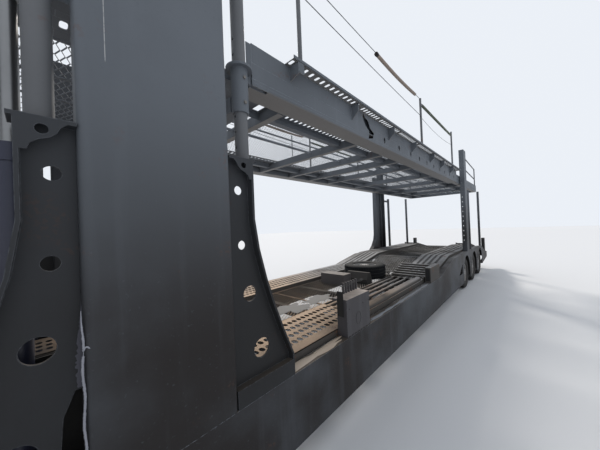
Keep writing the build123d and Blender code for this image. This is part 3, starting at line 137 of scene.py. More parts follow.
# Columns, sills and the other welded steelwork: slate grey paint over plate. Darker and browner low down,
# road dirt with painted shade under the upper deck; dust lies on what faces up, water has drawn faint streaks,
# and rust shows at chips.
def effect(name, inputs, work_out):
    """A shader node group: inputs are (name, kind), and work_out gives its outputs by name."""
    group = bpy.data.node_groups.new(name, "ShaderNodeTree")
    for label, kind in inputs:
        group.interface.new_socket(label, in_out="INPUT", socket_type="NodeSocket" + kind)
    results = work_out(group, group.nodes.new("NodeGroupInput").outputs)
    for label, value in results.items():
        kind = "NodeSocketVector" if value.type == "VECTOR" else "NodeSocketFloat"
        group.interface.new_socket(label, in_out="OUTPUT", socket_type=kind)
    put(group, "NodeGroupOutput", results.items())
    return group


def ramp(tree, value, low, high):
    """Smooth step of a value from 0 at low to 1 at high."""
    made = put(tree, "ShaderNodeMapRange", [("Value", value), ("From Min", low), ("From Max", high)],
               interpolation_type="SMOOTHSTEP")
    return made.outputs["Result"]


def times(tree, a, b):
    """Product of two values, kept between 0 and 1."""
    return put(tree, "ShaderNodeMath", [(0, a), (1, b)], operation="MULTIPLY", use_clamp=True).outputs[0]


def blended(tree, share, first, second):
    """Colour that goes from first to second as share goes from 0 to 1."""
    return put(tree, "ShaderNodeMix", [(0, share), (6, first), (7, second)], data_type="RGBA").outputs[2]


def noise(tree, vector, scale, detail, stretch=(1, 1, 1)):
    """Noise between 0 and 1 on Object coordinates, stretched along each axis."""
    mapped = put(tree, "ShaderNodeMapping", [("Vector", vector), ("Scale", stretch)])
    made = put(tree, "ShaderNodeTexNoise", [("Vector", mapped.outputs[0]), ("Scale", scale), ("Detail", detail)])
    return made.outputs["Fac"]


def weather(group, source):
    """Masks from Object coordinates: broad clouds, fine specks, upright streaks, chips and grain."""
    place = source["Place"]
    specks = noise(group, place, 55, 3)
    patches = noise(group, place, 4.5, 8)
    return {"Clouds": noise(group, place, 1.3, 6), "Specks": specks,
            "Streaks": noise(group, place, 9, 5, (1, 1, 0.06)),
            "Chips": times(group, ramp(group, patches, 0.60, 0.70), ramp(group, specks, 0.48, 0.60)),
            "Grain": noise(group, place, 240, 2)}


def dust_and_shade_masks(group, source):
    """Masks: dust on faces that look up; low down, where road dirt and painted shade darken the steel;
    faces that look down, for painted light bounced up from the floor; and towards the tail, for
    painted shade on the dust.
    """
    normal = put(group, "ShaderNodeNewGeometry").outputs["Normal"]
    facing = put(group, "ShaderNodeSeparateXYZ", [(0, normal)]).outputs["Z"]
    apart = put(group, "ShaderNodeSeparateXYZ", [(0, source["Place"])]).outputs
    return {"Flat": times(group, ramp(group, facing, 0.35, 0.9), ramp(group, source["Clouds"], 0.25, 0.6)),
            # low down: road dirt together with painted shade below the upper deck
            "Low": ramp(group, apart["Z"], 2.75, 1.15),
            # painted light: faces that look down are lightened as if lit from the floor
            "Underlit": times(group, ramp(group, facing, -0.4, -0.9), 0.8),
            # painted shade: the dust goes greyer towards the tail, out of the sun
            "Rear": ramp(group, apart["X"], 1.9, -0.6)}


def rubbed_edges(group, source):
    """Mask of rubbed edges, where a slightly rounded normal leaves the face's own, and the rounded normal."""
    rounded = put(group, "ShaderNodeBevel", [("Radius", 0.005)], samples=4).outputs[0]
    flat = put(group, "ShaderNodeNewGeometry").outputs["True Normal"]
    alike = put(group, "ShaderNodeVectorMath", [(0, rounded), (1, flat)], operation="DOT_PRODUCT")
    bare = ramp(group, alike.outputs["Value"], 0.995, 0.86)
    return {"Rubbed": times(group, bare, ramp(group, source["Specks"], 0.30, 0.62)), "Rounded": rounded}


WEATHER = effect("weather", [("Place", "Vector")], weather)
DUST_AND_SHADE = effect("dust_and_painted_shade", [("Place", "Vector"), ("Clouds", "Float")], dust_and_shade_masks)
EDGES = effect("rubbed_edges", [("Specks", "Float")], rubbed_edges)
# The low colour stands for road dirt together with painted shade under the upper deck.
SLATE, LOW_DIRT_AND_SHADE, TAN_DUST = (0.146, 0.163, 0.185), (0.0255, 0.0228, 0.0224), (0.26, 0.205, 0.155)
RUST_DARK, RUST_PALE, BARE_STEEL = (0.10, 0.035, 0.015, 1), (0.23, 0.10, 0.045, 1), (0.45, 0.45, 0.45, 1)
DARKER, LIGHTER, RUBBED = (0.72, 0.0), (1.35, 0.01), (2.0, 0.03)
MATT_FROM, MATT_SHINE, FULL_SHINE = 0.45, 0.22, 0.5


def painted(name, colour, low_colour=None, dust_colour=TAN_DUST, dust=0.5, rust=0.5, streak=0.25, rough=0.55,
            metallic=0.0, bump=0.12, edge=0.0, under=None, rear_shaded_dust=None, scratch=None, cad_nodes=()):
    """Weathered finish, layer on layer: colour above and low_colour near the road, darker clouds, pale
    streaks, dark specks, dust on top, rust in the chips, and, where asked, edges rubbed lighter, a pale
    colour on faces that look down as painted light bounced up from the floor, dust painted greyer towards
    the tail as painted shade, and one long upright scratch, given as its station along X and its lower
    end. The CAD nodes named with it get the finish."""
    material, tree, shader = blank_material(name)
    place = put(tree, "ShaderNodeTexCoord").outputs["Object"]
    worn = put(tree, "ShaderNodeGroup", [("Place", place)], node_tree=WEATHER).outputs
    dust_and_shade = put(tree, "ShaderNodeGroup", [("Place", place), ("Clouds", worn["Clouds"])], node_tree=DUST_AND_SHADE).outputs
    darker, lighter, paler = ((*(min(1.0, k * c + b) for c in colour), 1) for k, b in (DARKER, LIGHTER, RUBBED))
    dust_with_rear_shade = (*dust_colour, 1)
    # painted shade: the dust turns greyer towards the tail
    if rear_shaded_dust:
        dust_with_rear_shade = blended(tree, dust_and_shade["Rear"], dust_with_rear_shade, (*rear_shaded_dust, 1))
    layers = [(ramp(tree, worn["Clouds"], 0.35, 0.7), 0.55, darker),
              (ramp(tree, worn["Streaks"], 0.52, 0.75), streak, lighter),
              (ramp(tree, worn["Specks"], 0.62, 0.8), 0.35, darker),
              (dust_and_shade["Flat"], dust, dust_with_rear_shade),
              (worn["Chips"], rust, blended(tree, worn["Grain"], RUST_DARK, RUST_PALE))]
    if edge:
        rubbed = put(tree, "ShaderNodeGroup", [("Specks", worn["Specks"])], node_tree=EDGES).outputs
        layers.append((rubbed["Rubbed"], edge, paler))
    # painted light: faces that look down are lightened as if lit from the floor
    if under:
        layers.append((dust_and_shade["Underlit"], 1.0, (*under, 1)))
    if scratch:
        apart = put(tree, "ShaderNodeSeparateXYZ", [(0, place)]).outputs
        away = put(tree, "ShaderNodeMath", [(0, apart["X"]), (1, scratch[0])], operation="SUBTRACT")
        away = put(tree, "ShaderNodeMath", [(0, away.outputs[0])], operation="ABSOLUTE").outputs[0]
        above = ramp(tree, apart["Z"], scratch[1], scratch[1] + 0.02)
        layers.append((times(tree, ramp(tree, away, 0.0022, 0.0008), above),
                       ramp(tree, worn["Specks"], 0.2, 0.5), BARE_STEEL))
    shade = blended(tree, dust_and_shade["Low"], (*colour, 1), (*(low_colour or colour), 1))
    for mask, amount, layer in layers:
        shade = blended(tree, times(tree, mask, amount), shade, layer)
    tree.links.new(shade, shader.inputs["Base Color"])
    gloss = put(tree, "ShaderNodeMapRange", [("Value", worn["Specks"]), ("To Min", rough - 0.08),
                                             ("To Max", rough + 0.15)])
    tree.links.new(gloss.outputs["Result"], shader.inputs["Roughness"])
    shader.inputs["Metallic"].default_value = metallic
    shader.inputs["Specular IOR Level"].default_value = MATT_SHINE if rough > MATT_FROM else FULL_SHINE
    relief = put(tree, "ShaderNodeBump", [("Strength", bump), ("Distance", 0.002), ("Height", worn["Specks"])])
    if edge:
        tree.links.new(rubbed["Rounded"], relief.inputs["Normal"])
    tree.links.new(relief.outputs["Normal"], shader.inputs["Normal"])
    for node_name in cad_nodes:
        slots = nodes[node_name].data.materials
        slots.clear()
        slots.append(material)
    return material


SIDES = (("left", 1), ("right", -1))
SCRATCH_X, SCRATCH_LOW = 3.8905, 2.50
# Its dust is painted greyer towards the tail, as painted shade.
frame_paint = painted("frame_paint", SLATE, LOW_DIRT_AND_SHADE, dust=0.55, rust=0.2, streak=0.1, edge=0.7,
                      rear_shaded_dust=(0.20, 0.195, 0.195), cad_nodes=(
                          "side_sill_left", "side_sill_right", "bed_cross_members", "rear_frame", "neck_plate",
                          "rear_posts", "front_posts", "deck_carriage", "front_deck_frame", "upper_tracks",
                          "upper_mesh_floor", "front_deck_floor"))
painted("column_paint", SLATE, LOW_DIRT_AND_SHADE, dust=0.55, rust=0.2, streak=0.1, edge=0.7,
        scratch=(SCRATCH_X, SCRATCH_LOW), cad_nodes=["main_column_left"])
# A darker copy of the slate paint, as painted shade, for the gussets and the far column, which stand in shade.
painted("shaded_gusset_paint", (0.054, 0.059, 0.067), (0.025, 0.025, 0.026), dust=0.35, rust=0.12, streak=0.08, edge=1.0,
        cad_nodes=["column_gussets_left", "column_gussets_right", "main_column_right"])
# Its under colour is painted light: the beams' undersides lightened as if lit from the floor below.
deck_paint = painted("deck_paint", SLATE, LOW_DIRT_AND_SHADE, dust=0.55, rust=0.35, edge=0.8, under=(0.215, 0.205, 0.195),
                     cad_nodes=["upper_side_beam_left", "upper_side_beam_right", "upper_cross_members"])

# Control box and grey chock: thin sheet steel that stands on the deck. The lid and the chock's top
# are pale with sand; the lid's sand is painted near white as painted light, since the upper deck shades
# it, and the sheet's edges are rubbed bare.
painted("box_paint", (0.085, 0.085, 0.09), (0.07, 0.066, 0.07), (0.95, 0.80, 0.68), dust=1.0, rust=0.3, edge=1.0,
        cad_nodes=["control_box"])
painted("chock_paint", (0.10, 0.095, 0.095), (0.092, 0.085, 0.086), dust=0.35, rust=0.3, edge=0.6,
        cad_nodes=["grey_chock"])

# Prop tubes and guard rails: steel tube in the same grey, rubbed bright and dusty where pins and
# sleeves slide on it.
painted("worn_paint", (0.160, 0.167, 0.178), (0.07, 0.07, 0.072), dust=0.4, streak=0.5, rough=0.48, edge=0.7,
        cad_nodes=["prop_tubes", "guard_rails"])

# Deck steel: trodden plate, grey brown, with tan dust in its unevenness. Towards the tail the dust is
# painted grey, as painted shade where the sun doesn't fall.
deck_steel = painted("deck_steel", (0.105, 0.10, 0.095), (0.075, 0.068, 0.062), (0.62, 0.44, 0.30), dust=0.85,
                     rust=0.9, streak=0.1, rough=0.7, bump=0.3, rear_shaded_dust=(0.34, 0.34, 0.345), cad_nodes=(
                         "lower_track_left", "lower_track_right", "centre_floor", "slat_step", "track_bars",
                         "tail_ramp_left", "tail_ramp_right"))

# Running gear: forged and welded axles, arms and legs in black chassis paint under road dirt. The
# rims are pressed steel in silver grey paint, with brown brake dust.
WHEELS = [f"{n}_{word}" for n in (1, 2, 3) for word, _ in SIDES]
painted("gear_paint", (0.035, 0.035, 0.037), (0.06, 0.055, 0.05), (0.22, 0.19, 0.16), dust=0.6, rust=0.7,
        rough=0.65, cad_nodes=["axles", "trailing_arms", "landing_legs"])
painted("rim_paint", (0.33, 0.335, 0.34), (0.26, 0.25, 0.24), (0.30, 0.25, 0.20), dust=0.3, rust=0.4, rough=0.42,
        cad_nodes=["spare_rim"] + [f"rim_{wheel}" for wheel in WHEELS])

# Tyres, the rubber chock and the air springs' bellows: black rubber with pale road dust. The spare
# tyre has hardly run and is blacker.
rubber = painted("tyre_rubber", (0.028, 0.028, 0.029), (0.040, 0.038, 0.036), (0.17, 0.155, 0.14), rust=0.0,
                 streak=0.0, rough=0.78, bump=0.25,
                 cad_nodes=["air_springs", "rubber_chock"] + [f"tyre_{wheel}" for wheel in WHEELS])
spare_rubber = painted("spare_rubber", (0.010, 0.011, 0.013), (0.008, 0.009, 0.011), (0.10, 0.095, 0.09), rust=0.0,
                       streak=0.0, rough=0.8, bump=0.25, cad_nodes=["spare_tyre"])

# Rams, kingpin and lamps: navy barrels with chromed rods, a forged kingpin that is greased, and
# lamp housings of black plastic.
painted("navy_paint", (0.016, 0.022, 0.055), (0.02, 0.022, 0.04), (0.16, 0.15, 0.15), dust=0.3, rust=0.1,
        rough=0.35, cad_nodes=["ram_barrels"])
painted("rod_chrome", (0.24, 0.245, 0.25), (0.2, 0.2, 0.2), (0.3, 0.28, 0.25), dust=0.1, rust=0.05, streak=0.1,
        rough=0.32, metallic=1.0, bump=0.02, cad_nodes=["ram_rods"])
painted("pin_steel", (0.33, 0.325, 0.32), (0.22, 0.2, 0.18), (0.1, 0.08, 0.06), dust=0.3, rust=0.4, rough=0.4,
        metallic=0.8, cad_nodes=["kingpin"])
# Its black also paints the shade in the control box's holes, slots and openings.
black_plastic_and_shade = painted("black_plastic_and_shade", (0.02, 0.02, 0.021), (0.025, 0.025, 0.025), (0.2, 0.18, 0.16), rust=0.0,
                       rough=0.5, cad_nodes=["tail_lamps"])


# Lower wheel tracks: raised plates with four rows of oval holes punched for grip and for chocks,
# folded down at both edges. The left one is cut out at its bay of bars.
def grid_faces(rows, columns, ring=False, closed=False):
    """Faces between the neighbours in a grid of points. A ring closes each row, and closed joins the last row
    to the first."""
    i, j = np.meshgrid(np.arange(rows - (not closed)), np.arange(columns - (not ring)), indexing="ij")
    k, m = (i + 1) % rows, (j + 1) % columns
    return np.stack([i * columns + j, i * columns + m, k * columns + m, k * columns + j], -1).reshape(-1, 4)


def repeated(faces, count, points_each):
    """The same faces on each of several like sets of points."""
    return (faces[None] + points_each * np.arange(count)[:, None, None]).reshape(-1, 4)


def blocks(corners):
    """Rectangular blocks: each row gives x0, x1, y0, y1, z0, z1, and all eight corners follow from it."""
    corners = np.asarray(corners, float).reshape(-1, 6)
    pick = np.array([[i, 2 + j, 4 + k] for i in (0, 1) for j in (0, 1) for k in (0, 1)])
    faces = np.array([(0, 1, 3, 2), (4, 6, 7, 5), (0, 4, 5, 1), (2, 3, 7, 6), (0, 2, 6, 4), (1, 5, 7, 3)])
    return corners[:, pick].reshape(-1, 3), repeated(faces, len(corners), 8)


def stacked(parts):
    """Several pairs of points and faces as one pair."""
    counts = np.cumsum([0] + [len(points) for points, _ in parts])
    points = np.concatenate([points for points, _ in parts])
    return points, np.concatenate([faces + start for (_, faces), start in zip(parts, counts)])


def perforated(along, across, hole, thick, open_cells, sides=8, square=1.0):
    """Plate of cells between the lines along and across, with its top at height 0.

    Round each open cell's middle, the cell's edge and the hole's outline (cosine and sine raised to the
    power square, times the half sizes) are joined by strips above, inside and below.
    """
    u0, v0 = (a.ravel() for a in np.meshgrid(along[:-1], across[:-1], indexing="ij"))
    u1, v1 = (a.ravel() for a in np.meshgrid(along[1:], across[1:], indexing="ij"))
    keep = np.asarray(open_cells).ravel()
    turn = np.radians(-135 + 360 * np.arange(sides) / sides)
    round_way = np.stack([np.cos(turn), np.sin(turn)], -1)
    square_way = round_way / abs(round_way).max(-1, keepdims=True)
    outline = np.sign(round_way) * abs(round_way) ** square * hole
    middle = np.stack([(u0 + u1) / 2, (v0 + v1) / 2], -1)[keep][:, None]
    half = np.stack([(u1 - u0) / 2, (v1 - v0) / 2], -1)[keep][:, None]
    rings = np.zeros((len(middle), 4, sides, 3))
    rings[:, (0, 3), :, :2] = (middle + half * square_way)[:, None]
    rings[:, (1, 2), :, :2] = (middle + outline)[:, None]
    rings[:, 2:, :, 2] = -thick
    faces = repeated(grid_faces(4, sides, ring=True), len(middle), 4 * sides)
    closed = np.stack([u0, u1, v0, v1, np.full(len(u0), -thick), np.zeros(len(u0))], -1)[~keep]
    return stacked([(rings.reshape(-1, 3), faces), blocks(closed)])


def sloped(part, x0, z0, x1, z1):
    """Lays a flat part along a slope: its first coordinate runs from x0, z0 towards x1, z1."""
    points, faces = part
    share = points[:, 0] / math.hypot(x1 - x0, z1 - z0)
    laid = np.stack([x0 + (x1 - x0) * share, points[:, 1], z0 + (z1 - z0) * share + points[:, 2]], -1)
    return laid, faces[:, ::-1] if x1 < x0 else faces


def mirrored(part, side):
    """The part itself on the left, or its mirror image on the right."""
    points, faces = part
    return (points, faces) if side > 0 else (points * [1, -1, 1], faces[:, ::-1])


def piece(name, part, material, body, smooth=False, stands_for=(), slot=None):
    """Makes one object from points and faces that are already in place, and lets it ride on a body."""
    points, faces = part
    mesh = bpy.data.meshes.new(name)
    mesh.vertices.add(len(points))
    mesh.vertices.foreach_set("co", np.asarray(points, np.float32).ravel())
    mesh.loops.add(faces.size)
    mesh.loops.foreach_set("vertex_index", np.asarray(faces, np.int32).ravel())
    mesh.polygons.add(len(faces))
    mesh.polygons.foreach_set("loop_start", np.arange(0, faces.size, 4, dtype=np.int32))
    mesh.polygons.foreach_set("use_smooth", np.full(len(faces), smooth))
    mesh.update(calc_edges=True)
    mesh.materials.append(material)
    made = in_scene(name, mesh)
    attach(made, body)
    if stands_for:
        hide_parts(*stands_for)


def both_sides(name, part, material, body, stands_for="", **more):
    """Makes a left piece and its mirror image, each named for its side and standing for that side's node."""
    for word, side in SIDES:
        piece(f"{name}_{word}", mirrored(part, side), material, body,
              stands_for=[f"{stands_for}_{word}"] if stands_for else (), **more)


TRACK_INNER, TRACK_OUTER, TRACK_NARROW = 0.55, 1.13, 1.005
TRACK_LEVEL, TRACK_THICK, TRACK_LIP = 0.80, 0.006, 0.07
NECK_LEVEL, HUMP_LEVEL, TAIL_LEVEL = 1.47, 0.995, 0.64
NOSE, NECK_BACK, BED_FRONT, NARROW_BACK = 7.57, 5.27, 4.60, 2.83
HUMP_FOOT, HUMP_FRONT, HUMP_BACK, TAIL_END = -1.15, -2.30, -5.50, -7.49
BEND_STATIONS = [NOSE, NECK_BACK, BED_FRONT, NARROW_BACK, HUMP_FOOT, HUMP_FRONT, HUMP_BACK, TAIL_END]
BEND_LEVELS = [NECK_LEVEL] * 2 + [TRACK_LEVEL] * 3 + [HUMP_LEVEL] * 2 + [TAIL_LEVEL]
TRACK_BENDS = list(zip(BEND_STATIONS, BEND_LEVELS, BEND_STATIONS[1:], BEND_LEVELS[1:]))
BAR_BAY_FRONT, BAR_BAY_BACK, BAY_LIP_THICK = 1.64, -0.37, 0.012
HOLE_PITCH, HOLE_ROW, HOLE_HALF, PLAIN_EDGES, INNER_SHARE = 0.066, 0.110, (0.025, 0.035), 0.06, 0.4


def holed_run(x0, z0, x1, z1, outer):
    """One straight run of a track: cells of holes between two plain margins, with a lip at each edge."""
    run = math.hypot(x1 - x0, z1 - z0)
    cells = max(1, round(run / HOLE_PITCH))
    rows = int((outer - TRACK_INNER - PLAIN_EDGES) / HOLE_ROW)
    margin = INNER_SHARE * (outer - TRACK_INNER - rows * HOLE_ROW)
    across = np.concatenate([[TRACK_INNER], TRACK_INNER + margin + HOLE_ROW * np.arange(rows + 1), [outer]])
    opened = np.ones((cells, rows + 2), bool)
    opened[:, (0, -1)] = False
    plate = perforated(np.linspace(0, run, cells + 1), across, HOLE_HALF, TRACK_THICK, opened)
    lips = blocks([[0, run, y, y + TRACK_THICK, -TRACK_LIP, 0] for y in (TRACK_INNER, outer - TRACK_THICK)])
    return sloped(stacked([plate, lips]), x0, z0, x1, z1)


def wheel_track(side):
    """All the runs of one track, without the bay of bars on the left."""
    runs = []
    for x0, z0, x1, z1 in TRACK_BENDS:
        outer = TRACK_NARROW if x0 == BED_FRONT else TRACK_OUTER
        if side > 0 and x0 == NARROW_BACK:
            runs += [holed_run(x0, z0, BAR_BAY_FRONT, z0, outer), holed_run(BAR_BAY_BACK, z0, x1, z1, outer),
                     blocks([[BAR_BAY_BACK, BAR_BAY_FRONT, y, y + BAY_LIP_THICK, z0 - TRACK_LIP, z0]
                             for y in (TRACK_INNER, outer - BAY_LIP_THICK)])]
        else:
            runs.append(holed_run(x0, z0, x1, z1, outer))
    return mirrored(stacked(runs), side)


for word, side in SIDES:
    piece(f"holed_track_{word}", wheel_track(side), deck_steel, "chassis", stands_for=[f"lower_track_{word}"],
          slot="deck_steel")


# Centre floor: panels of expanded steel mesh, welded in frames of flat bar. They lie between the wheel
# tracks, a little below their level.
def expanded(x0, x1, y0, y1, long_pitch, short_pitch, strand, thick, lengthwise=True):
    """Expanded mesh: rows of zigzag strands whose neighbours bend opposite ways and meet at each bend.

    A strand's middle line is its row's middle plus or minus a quarter of the short pitch, turning
    at every half long pitch, and a flat four-cornered section is carried along it.
    """
    length, breadth = (x1 - x0, y1 - y0) if lengthwise else (y1 - y0, x1 - x0)
    steps = max(2, round(length / (long_pitch / 2)))
    rows = max(2, round(breadth / (short_pitch / 2)))
    row, step = np.meshgrid(np.arange(rows), np.arange(steps + 1), indexing="ij")
    sway = (breadth / rows - strand) / 2 * np.where((row + step) % 2, 1.0, -1.0)
    section = np.array([(-strand / 2, 0), (strand / 2, thick), (strand / 2, thick * 0.4),
                        (-strand / 2, -thick * 0.6)])
    points = np.zeros((rows, steps + 1, 4, 3))
    points[..., 0] = (length * step / steps)[..., None]
    points[..., 1] = (breadth * (row + 0.5) / rows + sway)[..., None] + section[:, 0]
    points[..., 2] = section[:, 1]
    points, faces = points.reshape(-1, 3), repeated(grid_faces(steps + 1, 4, ring=True), rows, 4 * (steps + 1))
    if not lengthwise:
        points, faces = points[:, [1, 0, 2]], faces[:, ::-1]
    return points + [x0, y0, 0], faces


FLOOR_HALF_WIDTH, FLOOR_DROP, MESH_GAP = 0.54, 0.058, 0.01
FLOOR_MESH = dict(long_pitch=0.075, short_pitch=0.044, strand=0.0115, thick=0.004)
PANEL_LENGTH, FRAME_BAR, FRAME_THICK, FRAME_LAP = 1.15, 0.035, 0.010, 0.001


def mesh_panel_run(x0, z0, x1, z1):
    """Mesh panels with their frames along one run of the floor."""
    run, half = math.hypot(x1 - x0, z1 - z0), FLOOR_HALF_WIDTH
    panels = max(1, round(run / PANEL_LENGTH))
    mesh = expanded(0, run, -half + MESH_GAP, half - MESH_GAP, **FLOOR_MESH)
    middles = [FRAME_BAR / 2, *np.linspace(0, run, panels + 1)[1:-1], run - FRAME_BAR / 2]
    bars = [[x - FRAME_BAR / 2, x + FRAME_BAR / 2, -half, half, -FRAME_THICK, -FRAME_LAP] for x in middles]
    bars += [[0, run, y, y + FRAME_BAR, -FRAME_THICK, 0] for y in (-half, half - FRAME_BAR)]
    return sloped(stacked([mesh, blocks(bars)]), x0, z0, x1, z1)


floor_runs = [mesh_panel_run(x0, z0 - FLOOR_DROP, x1, z1 - FLOOR_DROP) for x0, z0, x1, z1 in TRACK_BENDS[2:6]]
piece("centre_mesh", stacked(floor_runs), deck_steel, "chassis", stands_for=["centre_floor"], slot="deck_steel")


# Side beams of the upper deck: deep channels folded from steel plate. Each web has a torn splice and tall
# oval holes, its foot is a wide box with rounded folds, and the walkway on top is slotted for grip and
# stands on welded brackets.
BEAM_FACE, BEAM_WEB, BEAM_INNER, WALKWAY_EDGE = 1.15, 0.005, 0.95, 1.25
BEAM_LOW, BEAM_TOP, WALKWAY_THICK = 2.776, 3.068, 0.004
LIP_LOW, LIP_HIGH, LIP_THICK = BEAM_TOP - 0.002, BEAM_TOP + 0.027, 0.005
BEAM_FRONT, BEAM_BACK, WALKWAY_FRONT = 3.065, -3.35, 2.74
NOSE_FRONT, NOSE_LOW, NOSE_HIGH, FOLD_RADIUS, FOLD_TOP = 3.108, 2.854, 3.058, 0.016, 2.80
DECK_LEVEL, DECK_THICK, DECK_BACK = 2.87, 0.006, -6.65
BOX_PLATE, BOX_TOP, LUG_PLATE, LUG_FACE, LUG_SLOT_BACK = 0.008, DECK_LEVEL - 0.001, 0.012, 1.116, 2.925
TAIL_BOX_OUTER, TAIL_BOX_INNER = 1.125, 1.025
LINER_Y, LINER_PLATE, LINER_FRONT = 1.09, 0.006, 1.74
SLOT_GROUPS = [(2.552, 12, 0.075), (1.595, 7, 0.060), (1.135, 10, 0.058), (0.50, 12, 0.060),
               (-0.30, 12, 0.060), (-1.10, 12, 0.060), (-1.90, 12, 0.060), (-2.70, 9, 0.060)]
LAST_SLOT, WALKWAY_MARGINS, WALKWAY_SLOT_HALF = (0.040, 0.006), (0.022, 0.024), (0.0155, 0.029)
WEB_HOLES = [0.95, 0.46, -0.02, -0.445, -0.865, -1.30, -1.73, -2.16, -2.60, -3.02]
WEB_HOLE_CELL, WEB_HOLE_Z, WEB_HOLE_HALF, WEB_CELL_RISE = 0.20, 2.878, (0.026, 0.038), 0.055
BRACKETS, BRACKET_SHAPE, BRACKET_HALF = (1.76, 0.82, -0.05, -1.05, -1.79, -2.62), (0.16, 0.085, 0.08), 0.004
END_BRACKET, END_BRACKET_SHAPE = WALKWAY_FRONT - 0.052, (0.12, 0.098, 0.09)
SPLICE_BACK, SPLICE_FRONT = 1.20, 1.64
SPLICE_LEVELS = (FOLD_TOP, 2.825, 2.895, 2.935, 3.005, 3.035, BEAM_TOP)
SPLICE_REAR_EDGE = (1.395, 1.285, 1.250, 1.345, 1.385, 1.47, 1.50)
SPLICE_FRONT_EDGE = (1.400, 1.385, 1.380, 1.465, 1.512, 1.525, 1.503)
TORN_EAR = ((2.633, 2.622, 2.630), (2.672, 2.682, 2.684), (2.982, 3.0, BEAM_TOP - 0.001), 1.242, 1.248)


def unit(vectors):
    """The same directions with a length of 1."""
    return vectors / np.linalg.norm(vectors, axis=1, keepdims=True)


def folded(line, thick, x0, x1, closed=False):
    """Folded plate: a line of (y, z) points and the same line set in by the thickness, carried along X."""
    line = np.asarray(line, float)
    n = len(line)
    step = unit(np.roll(line, -1, 0) - line)
    before = np.roll(step, 1, 0)
    if not closed:
        step[-1], before[0] = step[-2], step[0]
    side, side_before = (np.stack([-way[:, 1], way[:, 0]], -1) for way in (step, before))
    between = unit(side + side_before)
    points = np.zeros((2, 2, n, 3))
    points[0, ..., 0], points[1, ..., 0] = x0, x1
    points[:, 0, :, 1:] = line
    points[:, 1, :, 1:] = line + thick * between / (between * side).sum(1, keepdims=True)
    i = np.arange(n if closed else n - 1)
    j = (i + 1) % n
    out0, in0, out1, in1 = 0, n, 2 * n, 3 * n
    faces = [np.stack(f, -1) for f in (
        (out0 + i, out0 + j, out1 + j, out1 + i), (in0 + i, in1 + i, in1 + j, in0 + j),
        (out1 + i, out1 + j, in1 + j, in1 + i), (out0 + i, in0 + i, in0 + j, out0 + j))]
    if not closed:
        faces.append(np.array([[out0, out1, in1, in0], [out0 + n - 1, in0 + n - 1, in1 + n - 1, out1 + n - 1]]))
    return points.reshape(-1, 3), np.concatenate(faces)


def rounded_fold(corner_y, corner_z, radius, steps=4):
    """Points of a quarter circle from the foot of a corner to its upright side."""
    turn = np.linspace(-np.pi / 2, 0, steps + 1)
    return [(corner_y - radius + radius * math.cos(a), corner_z + radius + radius * math.sin(a)) for a in turn]


def middle_row(opened):
    """Open cells for a plate of three rows, whose outer rows are plain."""
    return np.array([[False, cell, False] for cell in opened])


def slotted_walkway():
    """Walkway plate whose slots come in groups, one cell for each slot, with plain plate between groups."""
    lines, opened = [BEAM_BACK], []
    for start, count, pitch in reversed(SLOT_GROUPS):
        lines += [start - (count - 0.5) * pitch + n * pitch for n in range(count + 1)]
        opened += [False] + [True] * count
    lines += [WALKWAY_FRONT - LAST_SLOT[0], WALKWAY_FRONT - LAST_SLOT[1], WALKWAY_FRONT]
    opened += [False, True, False]
    inner = BEAM_FACE - BEAM_WEB
    across = np.array([inner, inner + WALKWAY_MARGINS[0], WALKWAY_EDGE - WALKWAY_MARGINS[1], WALKWAY_EDGE])
    points, faces = perforated(np.array(lines), across, WALKWAY_SLOT_HALF, WALKWAY_THICK, middle_row(opened),
                               sides=12, square=0.5)
    return points + [0, 0, BEAM_TOP + WALKWAY_THICK], faces


def holed_web(x0, x1, holes):
    """Upright web between two stations: a tall oval hole in a square cell at each hole, else plain plate."""
    lines = [x0] + [x + half for x in sorted(holes) for half in (-WEB_HOLE_CELL / 2, WEB_HOLE_CELL / 2)] + [x1]
    opened = [False, True] * len(holes) + [False]
    across = np.array([FOLD_TOP, WEB_HOLE_Z - WEB_CELL_RISE, WEB_HOLE_Z + WEB_CELL_RISE, BEAM_TOP])
    points, faces = perforated(np.array(lines), across, WEB_HOLE_HALF, BEAM_WEB, middle_row(opened), sides=16)
    return points[:, [0, 2, 1]] + [0, BEAM_FACE, 0], faces[:, ::-1]


def torn_strip(x0, x1, levels, y0, y1):
    """Upright plate whose front and rear edges change with height: x0 and x1 give one value for each level."""
    x0, x1 = (np.broadcast_to(np.asarray(x, float), len(levels)) for x in (x0, x1))
    n = len(levels)
    points = np.array([[(x, y, z) for x, z in zip(edge, levels)] for edge in (x0, x1) for y in (y0, y1)])
    i = np.arange(n - 1)
    faces = [np.stack([a * n + i, b * n + i, b * n + i + 1, a * n + i + 1], -1)
             for a, b in ((0, 2), (3, 1), (1, 0), (2, 3))]
    ends = [[0, n, 3 * n, 2 * n], [n - 1, 3 * n - 1, 4 * n - 1, 2 * n - 1]]
    return points.reshape(-1, 3), np.concatenate(faces + [np.array(ends)])


def gusset_plate(x, depth, reach, foot):
    """Upright cross plate under the walkway: deep at the web and shallow at the outer end."""
    low, high = BEAM_TOP - depth, BEAM_TOP - 0.001
    points = np.array([(x + dx, y, z) for dx in (-BRACKET_HALF, BRACKET_HALF) for y, z in (
        (BEAM_FACE, low), (BEAM_FACE + reach, high - foot), (BEAM_FACE + reach, high), (BEAM_FACE, high))])
    faces = np.array([(0, 3, 2, 1), (4, 5, 6, 7), (0, 1, 5, 4), (1, 2, 6, 5), (2, 3, 7, 6), (3, 0, 4, 7)])
    return points, faces


